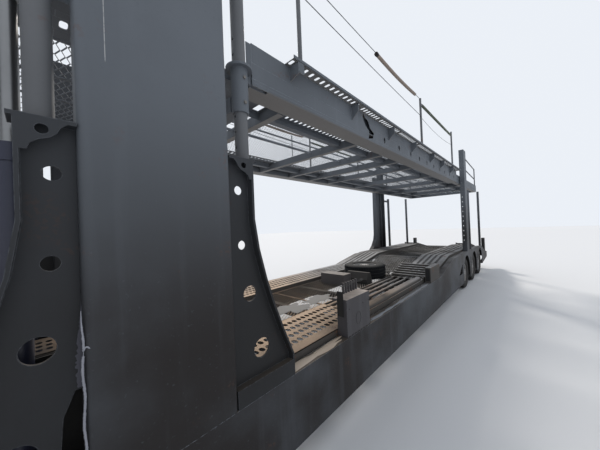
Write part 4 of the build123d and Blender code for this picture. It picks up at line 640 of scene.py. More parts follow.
def side_beam():
    """Left beam: web in three runs with its splice, foot box, nose, walkway with lip, brackets and tail box."""
    web_in, liner, box_floor = BEAM_FACE - BEAM_WEB, LINER_Y + LINER_PLATE, BOX_TOP - BOX_PLATE
    liner_foot, liner_under, liner_back = DECK_LEVEL + DECK_THICK, BEAM_TOP - LINER_PLATE, LINER_FRONT - LINER_PLATE
    fold = rounded_fold(BEAM_FACE, BEAM_LOW, FOLD_RADIUS)
    inner_corner = BEAM_INNER + FOLD_RADIUS
    inner_fold = [(BEAM_INNER + inner_corner - y, z) for y, z in rounded_fold(inner_corner, BEAM_LOW, FOLD_RADIUS)]
    inner_side = [(BEAM_INNER, BOX_TOP)] + inner_fold[::-1]
    tail_box = [(TAIL_BOX_OUTER, DECK_LEVEL), (TAIL_BOX_INNER, DECK_LEVEL), (TAIL_BOX_INNER, BEAM_LOW)]
    tail_box += rounded_fold(TAIL_BOX_OUTER, BEAM_LOW, FOLD_RADIUS)
    return stacked([
        folded(inner_side + fold + [(BEAM_FACE, FOLD_TOP)], BOX_PLATE, BEAM_BACK, LUG_SLOT_BACK),
        folded(inner_side + [(LUG_FACE, BEAM_LOW), (LUG_FACE, BOX_TOP)], LUG_PLATE, LUG_SLOT_BACK, BEAM_FRONT),
        blocks([
            [BEAM_BACK, LUG_SLOT_BACK, BEAM_INNER, web_in, box_floor, BOX_TOP],
            [LUG_SLOT_BACK, BEAM_FRONT, BEAM_INNER, LUG_FACE, box_floor, BOX_TOP],
            [LUG_SLOT_BACK, BEAM_FRONT, web_in, BEAM_FACE, BEAM_LOW, FOLD_TOP],
            [BEAM_FRONT, NOSE_FRONT, web_in, BEAM_FACE, NOSE_LOW, NOSE_HIGH],
            [BEAM_BACK, LINER_FRONT, LINER_Y, liner, liner_foot, BEAM_TOP],
            [BEAM_BACK, LINER_FRONT, liner, web_in, liner_under, BEAM_TOP],
            [liner_back, LINER_FRONT, liner, web_in, liner_foot, liner_under],
        ]),
        holed_web(BEAM_BACK, SPLICE_BACK, WEB_HOLES),
        holed_web(SPLICE_FRONT, BEAM_FRONT, []),
        torn_strip(SPLICE_BACK, SPLICE_REAR_EDGE, SPLICE_LEVELS, web_in, BEAM_FACE),
        torn_strip(SPLICE_FRONT_EDGE, SPLICE_FRONT, SPLICE_LEVELS, web_in, BEAM_FACE),
        folded(tail_box, BOX_PLATE, DECK_BACK, BEAM_BACK, closed=True),
        slotted_walkway(),
        folded([(WALKWAY_EDGE, LIP_LOW), (WALKWAY_EDGE, LIP_HIGH)], LIP_THICK, BEAM_BACK, WALKWAY_FRONT),
        *[gusset_plate(x, *BRACKET_SHAPE) for x in BRACKETS],
        gusset_plate(END_BRACKET, *END_BRACKET_SHAPE),
        torn_strip(*TORN_EAR),
    ])


both_sides("slotted_beam", side_beam(), deck_paint, "upper_deck", stands_for="upper_side_beam", slot="frame_paint")


# Floor of the upper deck: wheel tracks of sheet steel with a row of cross slots beside a folded channel,
# and fine expanded mesh between them on flat bars. It is seen from below against the sky.
DECK_INNER, DECK_OUTER, DECK_NARROW = 0.67, 1.13, 1.045
DECK_FRONT, FASCIA_FRONT, FASCIA_TOP, FASCIA_PLATE = 3.595, -3.41, 3.006, 0.010
SLOT_PITCH, SLOT_HALF, SLOT_MIDDLE, SLOT_FRONT = 0.0664, (0.017, 0.034), 0.797, 2.551
WINDOW_BACK, WINDOW_FRONT, WINDOW_INNER, WINDOW_OUTER = 2.677, 2.746, 0.707, 0.889
CROSS_BARS, CROSS_BAR_HALF = (2.615, 1.355, 0.630, 0.035, -0.635, -1.840, -3.040, -4.250, -5.450, -6.615), 0.036
RIB_LOW, RIB_PLATE, CHANNEL_OUTER, CHANNEL_PLATE = DECK_LEVEL - 0.06, 0.008, DECK_INNER + 0.07, 0.006
DECK_TOP = DECK_LEVEL + DECK_THICK


def slot_row(x0, x1, low, high, middle, half_width=0.05):
    """Plate with one row of cross slots round a middle line."""
    cells = round((x1 - x0) / SLOT_PITCH)
    across = np.array([low, middle - half_width, middle + half_width, high])
    points, faces = perforated(np.linspace(x0, x1, cells + 1), across, SLOT_HALF, DECK_THICK,
                               middle_row([True] * cells), sides=12, square=0.55)
    return points + [0, 0, DECK_TOP], faces


def deck_track():
    """Left slotted track: channel by the mesh, edge rib, window ahead of the first bar, and the tail's fascia."""
    channel = [(CHANNEL_OUTER, DECK_LEVEL), (CHANNEL_OUTER, RIB_LOW), (DECK_INNER, RIB_LOW),
               (DECK_INNER, DECK_LEVEL)]
    return stacked([
        slot_row(DECK_BACK, SLOT_FRONT, DECK_INNER, DECK_OUTER, SLOT_MIDDLE),
        slot_row(BEAM_FRONT, DECK_FRONT, DECK_INNER, DECK_NARROW, SLOT_MIDDLE),
        *[folded(channel, -CHANNEL_PLATE, back + CROSS_BAR_HALF, front - CROSS_BAR_HALF)
          for front, back in zip(CROSS_BARS, CROSS_BARS[1:])],
        blocks([
            [SLOT_FRONT, WINDOW_BACK, DECK_INNER, DECK_OUTER, DECK_LEVEL, DECK_TOP],
            [WINDOW_BACK, WINDOW_FRONT, DECK_INNER, WINDOW_INNER, DECK_LEVEL, DECK_TOP],
            [WINDOW_BACK, WINDOW_FRONT, WINDOW_OUTER, DECK_OUTER, DECK_LEVEL, DECK_TOP],
            [WINDOW_FRONT, BEAM_FRONT, DECK_INNER, DECK_OUTER, DECK_LEVEL, DECK_TOP],
            [BEAM_FRONT, DECK_FRONT, DECK_NARROW - RIB_PLATE, DECK_NARROW, RIB_LOW, DECK_LEVEL],
            [CROSS_BARS[0] + CROSS_BAR_HALF, DECK_FRONT, DECK_INNER, DECK_INNER + RIB_PLATE, RIB_LOW, DECK_LEVEL],
            [DECK_BACK, FASCIA_FRONT, TAIL_BOX_OUTER - FASCIA_PLATE, TAIL_BOX_OUTER, DECK_TOP, FASCIA_TOP],
        ]),
    ])


LEFT_DECK_TRACK = deck_track()
piece("slotted_tracks", stacked([mirrored(LEFT_DECK_TRACK, side) for _, side in SIDES]), frame_paint, "upper_deck",
      stands_for=["upper_tracks"], slot="deck_steel")

SECOND_ROW, MESH_INNER, MESH_EDGE, MESH_LEVEL = -0.54, -0.49, 0.005, DECK_LEVEL + 0.002
FLAT_BAR, FLAT_BAR_STATIONS = 0.03, (0.635, -0.50)
UPPER_MESH = dict(long_pitch=0.075, short_pitch=0.034, strand=0.0018, thick=0.0013)


def flat_bars(x0, x1, stations):
    """Flat bars that run along the deck between two stations."""
    return blocks([[x0, x1, y, y + FLAT_BAR, DECK_LEVEL, DECK_TOP] for y in stations])


def laid_mesh(x0, x1, y0, y1, sizes):
    """Expanded mesh whose long diamonds lie across, on the deck's level."""
    points, faces = expanded(x0, x1, y0, y1, lengthwise=False, **sizes)
    return points + [0, 0, MESH_LEVEL], faces


piece("upper_mesh", stacked([
    laid_mesh(DECK_BACK, CROSS_BARS[0], MESH_INNER, DECK_INNER - MESH_EDGE, UPPER_MESH),
    slot_row(DECK_BACK, CROSS_BARS[0], -DECK_INNER + MESH_EDGE, MESH_INNER, SECOND_ROW, half_width=0.045),
    flat_bars(DECK_BACK, CROSS_BARS[0], FLAT_BAR_STATIONS),
]), frame_paint, "upper_deck", stands_for=["upper_mesh_floor"], slot="deck_steel")


# Front upper deck: expanded steel mesh with wide diamonds, tacked on flat bars between two slotted
# tracks. All of it lies on the cross bars of the front frame.
FRONT_DECK_BACK, FRONT_DECK_FRONT, FRONT_BEAM_INNER = 3.685, 7.52, 1.03
FRONT_MESH = dict(long_pitch=0.115, short_pitch=0.052, strand=0.006, thick=0.003)
FRONT_BARS = (-0.665, 0.18, -0.21, 0.635)
front_track = slot_row(FRONT_DECK_BACK, FRONT_DECK_FRONT, DECK_INNER, FRONT_BEAM_INNER, SLOT_MIDDLE)
piece("front_mesh", stacked([
    laid_mesh(FRONT_DECK_BACK + MESH_GAP, FRONT_DECK_FRONT - MESH_GAP, -DECK_INNER + MESH_GAP,
              DECK_INNER - MESH_GAP, FRONT_MESH),
    *[mirrored(front_track, side) for _, side in SIDES],
    flat_bars(FRONT_DECK_BACK, FRONT_DECK_FRONT, FRONT_BARS),
]), frame_paint, "front_deck", stands_for=["front_deck_floor"], slot="deck_steel")


# Tyres: moulded rubber on steel cord, seated on the rims' beads. Three grooves run round the tread,
# and short cuts cross both shoulders. The spare one lies flat on the centre floor.
TYRE_HALF, AXLES, AXLE_HEIGHT, WHEEL_MIDDLE = 0.130, (-3.65, -4.80, -5.95), 0.40, 1.085
HALF_SECTION = np.array([
    (0.2225, -0.100), (0.232, -0.113), (0.240, -0.115), (0.252, -0.122), (0.2925, -0.130), (0.330, -0.1285),
    (0.340, -0.1265), (0.352, -0.127), (0.372, -0.120), (0.388, -0.111), (0.3955, -0.102), (0.3975, -0.072),
    (0.3975, -0.066), (0.386, -0.064), (0.386, -0.058), (0.3985, -0.056), (0.3995, -0.030), (0.3995, -0.010),
    (0.387, -0.008)])
TREAD_STEPS, CUT_EVERY, CUT_DEPTH, SHOULDER_RADIUS, SHOULDER_SIDE = 216, 4, 0.008, 0.385, 0.07
FLOOR_TOP = 0.742
SPARE_PLACE = (-0.3982, 0.04, FLOOR_TOP + TYRE_HALF)


def ribbed_tyre():
    """Tyre about the cross axis: the section is turned in steps, and each fourth step sinks the shoulders."""
    angle = np.arange(TREAD_STEPS) * 2 * np.pi / TREAD_STEPS
    radius, across = np.concatenate([HALF_SECTION, HALF_SECTION[::-1] * [1, -1]]).T
    shoulder = (abs(across) > SHOULDER_SIDE) & (radius > SHOULDER_RADIUS)
    r = radius - CUT_DEPTH * ((np.arange(TREAD_STEPS) % CUT_EVERY == 0)[:, None] & shoulder)
    x, z = r * np.cos(angle)[:, None], r * np.sin(angle)[:, None]
    points = np.stack([x, np.broadcast_to(across, r.shape), z], -1)
    return points.reshape(-1, 3), grid_faces(*r.shape, ring=True, closed=True)[:, ::-1]


def on_wheels(name, part, material, spare_material, node="", slot=None):
    """Puts a part that is built about a left wheel's axis on all six wheels and, laid flat, on the spare one."""
    points, faces = part
    for number, axle in enumerate(AXLES, start=1):
        for word, side in SIDES:
            placed, turned = mirrored((points + [0, WHEEL_MIDDLE, 0], faces), side)
            piece(f"{name}_{number}_{word}", (placed + [axle, 0, AXLE_HEIGHT], turned), material,
                  f"wheel_{number}_{word}", stands_for=[f"{node}_{number}_{word}"] if node else (), slot=slot)
    piece(f"{name}_spare", (points[:, [0, 2, 1]] * [1, -1, 1] + SPARE_PLACE, faces), spare_material, "chassis",
          stands_for=[f"spare_{node}"] if node else (), slot=slot)


on_wheels("ribbed_tyre", ribbed_tyre(), rubber, spare_rubber, node="tyre", slot="tyre_rubber")


# Wheel nuts: ten pressed steel nuts hold each disc, and the hub cap has eight small bolts. All are
# rusty, because the paint doesn't hold on them.
TIP = 0.01


def hex_studs(centres, radius, height, axis):
    """Six-sided studs: each centre is the middle of a stud's foot, and the stud rises along the axis to a
    flat head, which a last ring shrunk to a tip closes."""
    turn = np.arange(6) * np.pi / 3
    ring = radius * np.stack([np.cos(turn), np.sin(turn)], -1)
    stud = np.zeros((3, 6, 3))
    plane = [k for k in range(3) if k != axis]
    stud[0][:, plane], stud[1][:, plane], stud[2][:, plane] = ring, ring, ring * TIP
    stud[1:, :, axis] = height
    points = np.asarray(centres, float)[:, None, None, :] + stud
    one = grid_faces(3, 6, ring=True)
    return points.reshape(-1, 3), repeated(one[:, ::-1] if axis == 1 else one, len(points), 18)


def on_circle(count, start, radius, y):
    """Points round the cross axis at equal steps, from a start angle in degrees."""
    turn = np.radians(start + 360 / count * np.arange(count))
    return np.stack([radius * np.cos(turn), np.full(count, y), radius * np.sin(turn)], -1)


NUT_CIRCLE, NUT_FOOT, NUT_RADIUS, NUT_HEIGHT = 0.108, 0.050, 0.016, 0.026
CAP_CIRCLE, CAP_FOOT, CAP_BOLT = 0.066, 0.103, 0.008
nut_steel = painted("nut_steel", (0.20, 0.19, 0.18), (0.16, 0.13, 0.11), (0.24, 0.2, 0.16), dust=0.3, rust=0.9,
                    rough=0.5, metallic=0.4)
on_wheels("wheel_nuts", stacked([hex_studs(on_circle(10, 18, NUT_CIRCLE, NUT_FOOT), NUT_RADIUS, NUT_HEIGHT, 1),
                                 hex_studs(on_circle(8, 0, CAP_CIRCLE, CAP_FOOT), CAP_BOLT, CAP_BOLT, 1)]),
          nut_steel, nut_steel)


# Guard ropes: steel wire strung between the stanchions in two heights and clipped to each. A tan foam
# hose is slipped over the top wire, and a faded green one runs on behind the second stanchion.
def tube(path, radius, sides=8):
    """Round tube along a path: at each point a ring lies square to the path's direction there, and at both
    ends a ring shrunk to a tip closes it."""
    path = np.asarray(path, float)
    radius = np.broadcast_to(radius, len(path)).astype(float)
    path = np.concatenate([path[:1], path, path[-1:]])
    radius = np.concatenate([[radius[0] * TIP], radius, [radius[-1] * TIP]])
    along = np.gradient(path, axis=0)
    along[0], along[-1] = path[2] - path[0], path[-1] - path[-3]
    along = unit(along)
    across = unit(np.cross(along, [0.0, 0.0, 1.0] if abs(along[:, 2]).max() < 0.9 else [0.0, 1.0, 0.0]))
    turn = (np.arange(sides) * 2 * np.pi / sides)[:, None]
    ring = across[:, None] * np.cos(turn) + np.cross(across, along)[:, None] * np.sin(turn)
    points = path[:, None] + ring * radius[:, None, None]
    return points.reshape(-1, 3), grid_faces(len(path), sides, ring=True)[:, ::-1]


STANCHIONS, ROPE_Y, EYE_HALF = (2.6448, -0.3510, -2.5545), 1.227, 0.03
TOP_ENDS, LOWER_ENDS, SLACK_ENDS, EYE_LEVELS = (3.855, 3.852), (3.652, 3.570), (3.550, 3.560), (3.652, 3.560, 3.560)
TOP_SAG, LOWER_SAG, SLACK_SAG, SLEEVE_SAG, SLEEVE_DROP = 0.015, 0.008, 0.060, 0.018, 0.008
TOP_STEPS, SLEEVED, CAP_SHARE = 25, slice(11, 23), 0.3
WIRE, SLACK_WIRE, EYE_RADIUS, SLEEVE_FOAM, CAP_RADIUS = 0.004, 0.003, 0.011, 0.0205, 0.023
RAIL_FOAM, RAIL_FOAM_RADII = ((-0.43, 3.772), (-2.0, 3.770), (-2.49, 3.772)), (0.021, 0.0205, 0.019)
wire_steel = painted("wire_steel", (0.12, 0.13, 0.14), dust_colour=(0.2, 0.2, 0.2), dust=0.1, rust=0.3, rough=0.45,
                     metallic=0.5)
hose_tan = painted("hose_tan", (0.34, 0.28, 0.24), (0.3, 0.25, 0.2), (0.4, 0.34, 0.30), dust=0.2, rust=0.0,
                   streak=0.3, rough=0.8, bump=0.4)
hose_green = painted("hose_green", (0.15, 0.17, 0.135), (0.15, 0.17, 0.13), (0.3, 0.28, 0.22), dust=0.3, rust=0.1,
                     rough=0.8)


def rope(first, ends, sag, steps=12):
    """Path from one stanchion to the next at two levels, which hangs below the line by a parabola of the sag."""
    share = np.linspace(0, 1, steps)[:, None]
    start, end = (np.array([STANCHIONS[first + n], ROPE_Y, ends[n]]) for n in (0, 1))
    return start + (end - start) * share - [0, 0, 1] * (4 * sag * share * (1 - share))


top_wire = rope(0, TOP_ENDS, TOP_SAG, TOP_STEPS)
clips = [tube([[x - EYE_HALF, ROPE_Y, z], [x + EYE_HALF, ROPE_Y, z]], EYE_RADIUS)
         for x, z in zip(STANCHIONS, EYE_LEVELS)]
both_sides("guard_wires", stacked([tube(top_wire, WIRE, 6), tube(rope(0, LOWER_ENDS, LOWER_SAG), WIRE, 6),
                                   tube(rope(1, SLACK_ENDS, SLACK_SAG), SLACK_WIRE, 6), *clips]),
           wire_steel, "upper_deck", smooth=True)
sleeve = top_wire[SLEEVED].copy()
sleeve[:, 2] -= SLEEVE_SAG * np.sin(np.linspace(0, np.pi, len(sleeve))) + SLEEVE_DROP
both_sides("hose", tube(sleeve, SLEEVE_FOAM, 10), hose_tan, "upper_deck", smooth=True)
cap = [sleeve[0], (1 - CAP_SHARE) * sleeve[0] + CAP_SHARE * sleeve[1]]
both_sides("hose_caps", tube(cap, CAP_RADIUS, 10), rubber, "upper_deck", smooth=True)
both_sides("rail_foam", tube([[x, ROPE_Y, z] for x, z in RAIL_FOAM], RAIL_FOAM_RADII, 12), hose_green, "upper_deck",
           smooth=True)


# Deck bars: a round bar and a pipe of painted steel run along under the upper deck's mesh. Short wire
# hooks hold them, and one loose rod lies askew below the deck's level.
ROD_LEVEL, ROD_BACK, ROD_FRONT, RODS = 2.842, DECK_BACK + 0.1, CROSS_BARS[0] + 0.2, ((0.42, 0.010), (0.234, 0.016))
HOOKS, HOOK_DROP, HOOK_WIRE = (2.43, 1.80, 0.98, 0.40, -0.3, -1.2, -2.5), 0.012, 0.004
LOOSE_LEVEL, LOOSE_ROD = DECK_LEVEL - 0.012, 0.006
piece("deck_bars", stacked([
    *[tube([[ROD_BACK, y, ROD_LEVEL], [ROD_FRONT, y, ROD_LEVEL]], radius) for y, radius in RODS],
    *[tube([[x, y, ROD_LEVEL - HOOK_DROP], [x, y, MESH_LEVEL]], HOOK_WIRE, 5) for x in HOOKS for y, _ in RODS],
    tube([[2.03, 0.50, LOOSE_LEVEL], [1.44, -0.07, LOOSE_LEVEL]], LOOSE_ROD, 6),
]), frame_paint, "upper_deck", smooth=True)


# Frozen splash water on the left column's front corner: a knobbly white bead ran down the weld seam
# and curled off it, and a thin film of rime clings to the gusset's web beside it.
ice = painted("ice", (0.34, 0.35, 0.40), (0.33, 0.34, 0.38), (0.5, 0.5, 0.5), dust=0.2, rust=0.0, streak=0.0,
              rough=0.35, bump=0.5)
rime = painted("rime", (0.105, 0.105, 0.125), (0.095, 0.095, 0.115), (0.3, 0.3, 0.3), dust=0.1, rust=0.0,
               streak=0.0, rough=0.6, bump=0.5)
BEAD_X, BEAD_Y, BEAD_TOP, BEAD_FOOT, BEAD_STEPS, CURL_LEVEL = 3.9885, 1.2425, 1.50, 0.80, 180, 1.352
BEAD_BREAK, BREAK_WIDTH, BEAD_THIN, BEAD_SWELL, SWELL_RUN = (1.325, 1.345), 0.0010, 0.0012, 0.0042, 0.12
BEAD_SWAY, BEAD_WAVES, BEAD_ROUGH = 0.0025, 31, 0.001
CURL_OUT, CURL_REACH, CURL_RISE, CURL_TURN, CURL_RADIUS = 0.003, -0.034, 0.007, 5.5, 0.0035
RIME_BACK, RIME_LEAST, RIME_WIDTH, RIME_FOOT, RIME_TOP, RIME_RUN = 3.984, 0.002, 0.024, 1.196, 1.52, 0.2
RIME_STEPS, WEB_FACE, RIME_THICK = 50, 1.2003, 0.0015
rng = np.random.default_rng(7)
heights = np.linspace(BEAD_TOP, BEAD_FOOT, BEAD_STEPS)
swell = np.clip((BEAD_TOP - heights) / SWELL_RUN, 0, 1) * (0.55 + 0.45 * rng.random(BEAD_STEPS))
width = BEAD_THIN + BEAD_SWELL * swell
width[(heights > BEAD_BREAK[0]) & (heights < BEAD_BREAK[1])] = BREAK_WIDTH
sway = BEAD_SWAY * np.sin(heights * BEAD_WAVES) + BEAD_ROUGH * rng.random(BEAD_STEPS)
bead = np.stack([BEAD_X + sway, np.full(BEAD_STEPS, BEAD_Y), heights], -1)
share = np.linspace(0, 1, 12)[:, None]
curl = [BEAD_X, BEAD_Y + CURL_OUT, CURL_LEVEL] + share * [CURL_REACH, 0, 0]
curl[:, 2:] += CURL_RISE * np.sin(share * CURL_TURN)
piece("ice_bead", stacked([tube(bead, width, 7), tube(curl, CURL_RADIUS, 6)]), ice, "chassis", smooth=True)
levels = np.linspace(RIME_FOOT, RIME_TOP, RIME_STEPS)
ragged = np.clip((RIME_TOP - levels) / RIME_RUN, 0, 1) * (0.6 + 0.4 * rng.random(RIME_STEPS))
rime_front = RIME_BACK + RIME_LEAST + RIME_WIDTH * ragged
piece("rime_film", torn_strip(RIME_BACK, rime_front, levels, WEB_FACE, WEB_FACE + RIME_THICK), rime, "chassis")


# Crusts: frozen slush on the centre floor's mesh, and on the left sill damp sand at the front and
# frost behind it. Each is a thin patch that wheels and splash left, highest in its middle.
CRUST_LOBES, LOBE_LEAST, LOBE_MOST, CRUST_RISE, CRUST_RIM, CRUST_FOOT = (2, 3, 5, 7), 0.05, 0.22, 0.006, 0.001, 0.0005


def crust(x, y, z, length, breadth, seed, turns=26, rings=6):
    """Flat crust: rings round a middle, whose radius wanders with the angle and whose height falls outwards."""
    wander = np.random.default_rng(seed)
    turn = np.arange(turns) * 2 * np.pi / turns
    reach = 1 + sum(wander.uniform(LOBE_LEAST, LOBE_MOST) * np.cos(n * turn + wander.uniform(0, 6.28))
                    for n in CRUST_LOBES)
    share = np.linspace(0.02, 1, rings)[:, None]
    rise = CRUST_RISE * np.sqrt(np.clip(1 - share**2, 0, 1)) * (0.7 + 0.3 * wander.random((rings, turns)))
    points = np.zeros((2, rings, turns, 3))
    points[..., 0] = x + length / 2 * share * reach * np.cos(turn)
    points[..., 1] = y + breadth / 2 * share * reach * np.sin(turn)
    points[0, ..., 2], points[1, ..., 2] = z + CRUST_RIM + rise, z + CRUST_FOOT
    top_faces = grid_faces(rings, turns, ring=True)[:, [0, 3, 2, 1]]
    return points.reshape(-1, 3), np.concatenate([top_faces, top_faces[:, ::-1] + rings * turns])


def crusts(name, places, level, seed, material):
    """One piece of several crusts, each given by its station, its place across, its length and its breadth."""
    piece(name, stacked([crust(x, y, level, length, breadth, seed + n)
                         for n, (x, y, length, breadth) in enumerate(places)]), material, "chassis", smooth=True)


SILL_Y, SILL_LEVEL, SLUSH_LEVEL = 1.200, 0.742, TRACK_LEVEL - FLOOR_DROP + 0.004
SLUSH = [(1.88, 0.24, 0.46, 0.34), (1.36, 0.25, 0.46, 0.30), (2.75, 0.10, 0.42, 0.26), (3.15, 0.30, 0.35, 0.24),
         (-0.75, 0.20, 0.36, 0.20)]
SANDY = [(x, SILL_Y - 0.006, 0.50, 0.074) for x in (2.72, 2.42)]
FROSTY = [(x, SILL_Y + 0.012, 0.46, 0.042) for x in (1.45, 1.08, 0.74, 0.42, 0.12, -0.16)]
frost = painted("frost", (0.17, 0.165, 0.16), dust_colour=(0.24, 0.23, 0.22), dust=0.6, rust=0.0, streak=0.0,
                rough=0.7, bump=0.6)
sand = painted("sand", (0.52, 0.41, 0.31), dust_colour=(0.66, 0.58, 0.50), rust=0.0, streak=0.0, rough=0.8,
               bump=0.6)
sill_frost = painted("sill_frost", (0.24, 0.255, 0.28), dust_colour=(0.34, 0.35, 0.37), dust=0.4, rust=0.0,
                     streak=0.0, rough=0.7, bump=0.6)
crusts("slush_crusts", SLUSH, SLUSH_LEVEL, 0, frost)
crusts("sill_sand", SANDY, SILL_LEVEL, 20, sand)
crusts("sill_frost", FROSTY, SILL_LEVEL, 30, sill_frost)


# Shade flaps: a black rubber sheet behind each front gusset's open foot, painted shade that darkens
# the opening there. Each hangs clamped under a flat bar.
FLAP_BACK, FLAP_FRONT, FLAP_Y, FLAP_LOW, FLAP_HIGH, FLAP_THICK = 3.74, 4.13, 1.03, 0.81, 1.30, 0.006
FLAP_GRID, FLAP_WAVE, FLAP_WAVES, CLAMP_IN, CLAMP_OUT, CLAMP_HEIGHT = (13, 9), 0.006, 9, 0.001, 0.008, 0.04


def shade_flap():
    """Sheet that waves slightly across, with thickness, and the clamping bar along its top."""
    u, v = np.meshgrid(*(np.linspace(0, 1, n) for n in FLAP_GRID), indexing="ij")
    wave = FLAP_WAVE * np.sin(u * FLAP_WAVES) * (1 - v)
    x, z = FLAP_BACK + (FLAP_FRONT - FLAP_BACK) * u, FLAP_LOW + (FLAP_HIGH - FLAP_LOW) * v
    sheet = np.stack([x, FLAP_Y + wave, z], -1).reshape(-1, 3)
    back = grid_faces(*FLAP_GRID)
    return stacked([(sheet, back), (sheet - [0, FLAP_THICK, 0], back[:, ::-1]), blocks([[
        FLAP_BACK, FLAP_FRONT, FLAP_Y + CLAMP_IN, FLAP_Y + CLAMP_OUT, FLAP_HIGH - CLAMP_HEIGHT, FLAP_HIGH]])])


both_sides("shade_flap", shade_flap(), rubber, "chassis")


# Control box, step and sill: the box is welded of sheet steel, with a pressed oval on its side and weld
# tacks along its foot. Its opening for hoses in front, the round holes and the row of slanted slots in its lid,
# and the oval's groove are black marks of painted shade. The step's end box is open in front, and its
# opening is a black plate of painted shade; each sill has three lashing eyes of round bar.
BOX_LOW, BOX_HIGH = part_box("control_box")
STEP_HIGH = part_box("slat_step")[1]
OVAL, OVAL_HALF, OVAL_BAR, OPENING_THICK = (1.955, 0.875), (0.045, 0.060), 0.003, (0.001, 0.002)
LASHING_EYES, EYE_Z, EYE_SIZE, EYE_BAR, EYE_Y = (0.108, 3.05, -1.45), 0.609, (0.022, 0.026), 0.004, 1.2455
SLOT_COUNT, SLOT_HALF_WIDTH, SLOT_RISE, SLOT_LEAN = 9, 0.004, 0.0025, 0.02
SLOT_ENDS, SLOT_SIDES, LID_HOLE_IN, LID_HOLE, LID_HOLE_RISE = (0.05, 0.10), (0.115, 0.04), 0.075, 0.018, 0.003
MARK_BACK, MARK_FRONT, RIVET_BACK, RIVET_MIDDLE, RIVET_LEVEL = 0.02, 0.05, 0.03, 1.86, 1.0
RIVET, RIVET_RISE = 0.006, 0.004
TACKS, TACK_LENGTH, TACK_REACH, TACK_FOOT, TACK_TOP = 8, 0.022, 0.004, 0.004, 0.012
HOSE_OPENING, STEP_OPENING = (0.06, 0.03, 0.19, 0.035), (0.080, 0.014, 0.03, 0.02)


def oval_ring(x, z, half, y, radius, sides=24):
    """Round bead bent into an upright oval on a side face."""
    turn = np.linspace(0, 2 * np.pi, sides + 1)
    return tube(np.stack([x + half[0] * np.cos(turn), np.full(sides + 1, y), z + half[1] * np.sin(turn)], -1),
                radius, 6)


def slanted_bars(x0, x1, y0, y1, z):
    """Row of thin bars on a lid that all lean by the same step along X."""
    points, faces = blocks([[x - SLOT_HALF_WIDTH, x + SLOT_HALF_WIDTH, y0, y1, z, z + SLOT_RISE]
                            for x in np.linspace(x0, x1, SLOT_COUNT)])
    points[:, 0] += SLOT_LEAN * (points[:, 1] - y0) / (y1 - y0)
    return points, faces


def shade_plate_in_opening(x, y0, y1, z0, z1):
    """Black plate on a front face, painted shade in place of an opening's dark inside."""
    return blocks([[x - OPENING_THICK[0], x + OPENING_THICK[1], y0, y1, z0, z1]])


(box_back, box_inner, box_foot), (box_front, box_outer, box_lid) = BOX_LOW, BOX_HIGH
side_y = box_outer - 0.001
marks_back, marks_front = box_back + MARK_BACK, box_front - MARK_FRONT
gap_in, gap_out, gap_foot, gap_top = HOSE_OPENING
# Black marks of painted shade for the lid's holes and slots, the oval's groove and the hose opening.
piece("box_marks", stacked([
    oval_ring(*OVAL, OVAL_HALF, side_y, OVAL_BAR),
    slanted_bars(box_back + SLOT_ENDS[0], box_front - SLOT_ENDS[1], box_outer - SLOT_SIDES[0],
                 box_outer - SLOT_SIDES[1], box_lid),
    hex_studs([(x, box_outer - LID_HOLE_IN, box_lid) for x in (marks_back, marks_front)], LID_HOLE, LID_HOLE_RISE, 2),
    hex_studs([(x, side_y, RIVET_LEVEL) for x in (box_back + RIVET_BACK, RIVET_MIDDLE, marks_front)], RIVET,
              RIVET_RISE, 1),
    blocks([[x, x + TACK_LENGTH, side_y, side_y + TACK_REACH, box_foot + TACK_FOOT, box_foot + TACK_TOP]
            for x in np.linspace(marks_back, marks_front, TACKS)]),
    shade_plate_in_opening(box_front, box_inner + gap_in, box_outer - gap_out, box_foot + gap_foot, box_lid - gap_top),
]), black_plastic_and_shade, "chassis")
gap_in, gap_out, gap_foot, gap_top = STEP_OPENING
step_front, step_outer, step_top = STEP_HIGH
# The step's open front: a black plate of painted shade.
piece("step_opening_shade", shade_plate_in_opening(step_front, step_outer - gap_in, step_outer - gap_out, SILL_LEVEL + gap_foot,
                                step_top - gap_top), black_plastic_and_shade, "chassis")
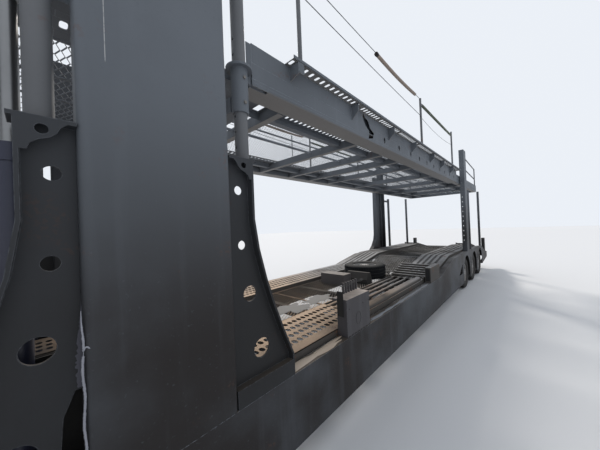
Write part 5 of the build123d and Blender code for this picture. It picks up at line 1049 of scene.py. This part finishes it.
both_sides("lashing_eyes", stacked([oval_ring(x, EYE_Z, EYE_SIZE, EYE_Y, EYE_BAR, 16) for x in LASHING_EYES]),
           black_plastic_and_shade, "chassis", smooth=True)


# Sleeve bolts: hexagon heads of plated steel, lightly rusted. They clamp the sleeves of the deck's
# carriage on the rear prop tubes.
SLEEVE_X, SLEEVE_FACE, BOLT_LEVELS, BOLT_RADIUS, BOLT_HEIGHT = 3.17, 1.204, (2.60, 2.76), 0.011, 0.010
sleeve_bolts = hex_studs([(SLEEVE_X, SLEEVE_FACE, z) for z in BOLT_LEVELS], BOLT_RADIUS, BOLT_HEIGHT, 1)
both_sides("sleeve_bolts", sleeve_bolts, nut_steel, "carriage")


# Tail lamps: three lenses, one below the other in each black housing, red with an amber one between. Each
# lens is a low dome of moulded plastic in its colour, pressed into the housing.
LAMP_LOW, LAMP_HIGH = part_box("tail_lamps")
LAMP_Y, LENS_RADIUS, LENS_RISE, LENS_TOP, LENS_STEP = 1.20, 0.036, 0.012, LAMP_HIGH[2] - 0.05, 0.085
LENS_COLOURS = {"red": ((0.30, 0.012, 0.010), (0, 2)), "amber": ((0.50, 0.16, 0.012), (1,))}


def lens(y, z, radius, rings=4, turns=16):
    """Low dome on the housing's rear face: rings shrink by the sine while the dome rises by the cosine."""
    angle = np.linspace(np.pi / 2, 0.05, rings)[:, None]
    turn = np.arange(turns) * 2 * np.pi / turns
    points = np.zeros((rings, turns, 3))
    points[..., 0] = LAMP_LOW[0] + 0.001 - LENS_RISE * np.cos(angle)
    points[..., 1] = y + radius * np.sin(angle) * np.cos(turn)
    points[..., 2] = z + radius * np.sin(angle) * np.sin(turn)
    return points.reshape(-1, 3), grid_faces(rings, turns, ring=True)[:, [0, 3, 2, 1]]


for name, (colour, steps) in LENS_COLOURS.items():
    lens_plastic = painted(f"{name}_lens", colour, dust_colour=(0.2, 0.17, 0.15), dust=0.3, rust=0.0, streak=0.0,
                           rough=0.18, bump=0.05)
    both_sides(f"{name}_lenses", stacked([lens(LAMP_Y, LENS_TOP - LENS_STEP * n, LENS_RADIUS) for n in steps]),
               lens_plastic, "chassis", smooth=True)
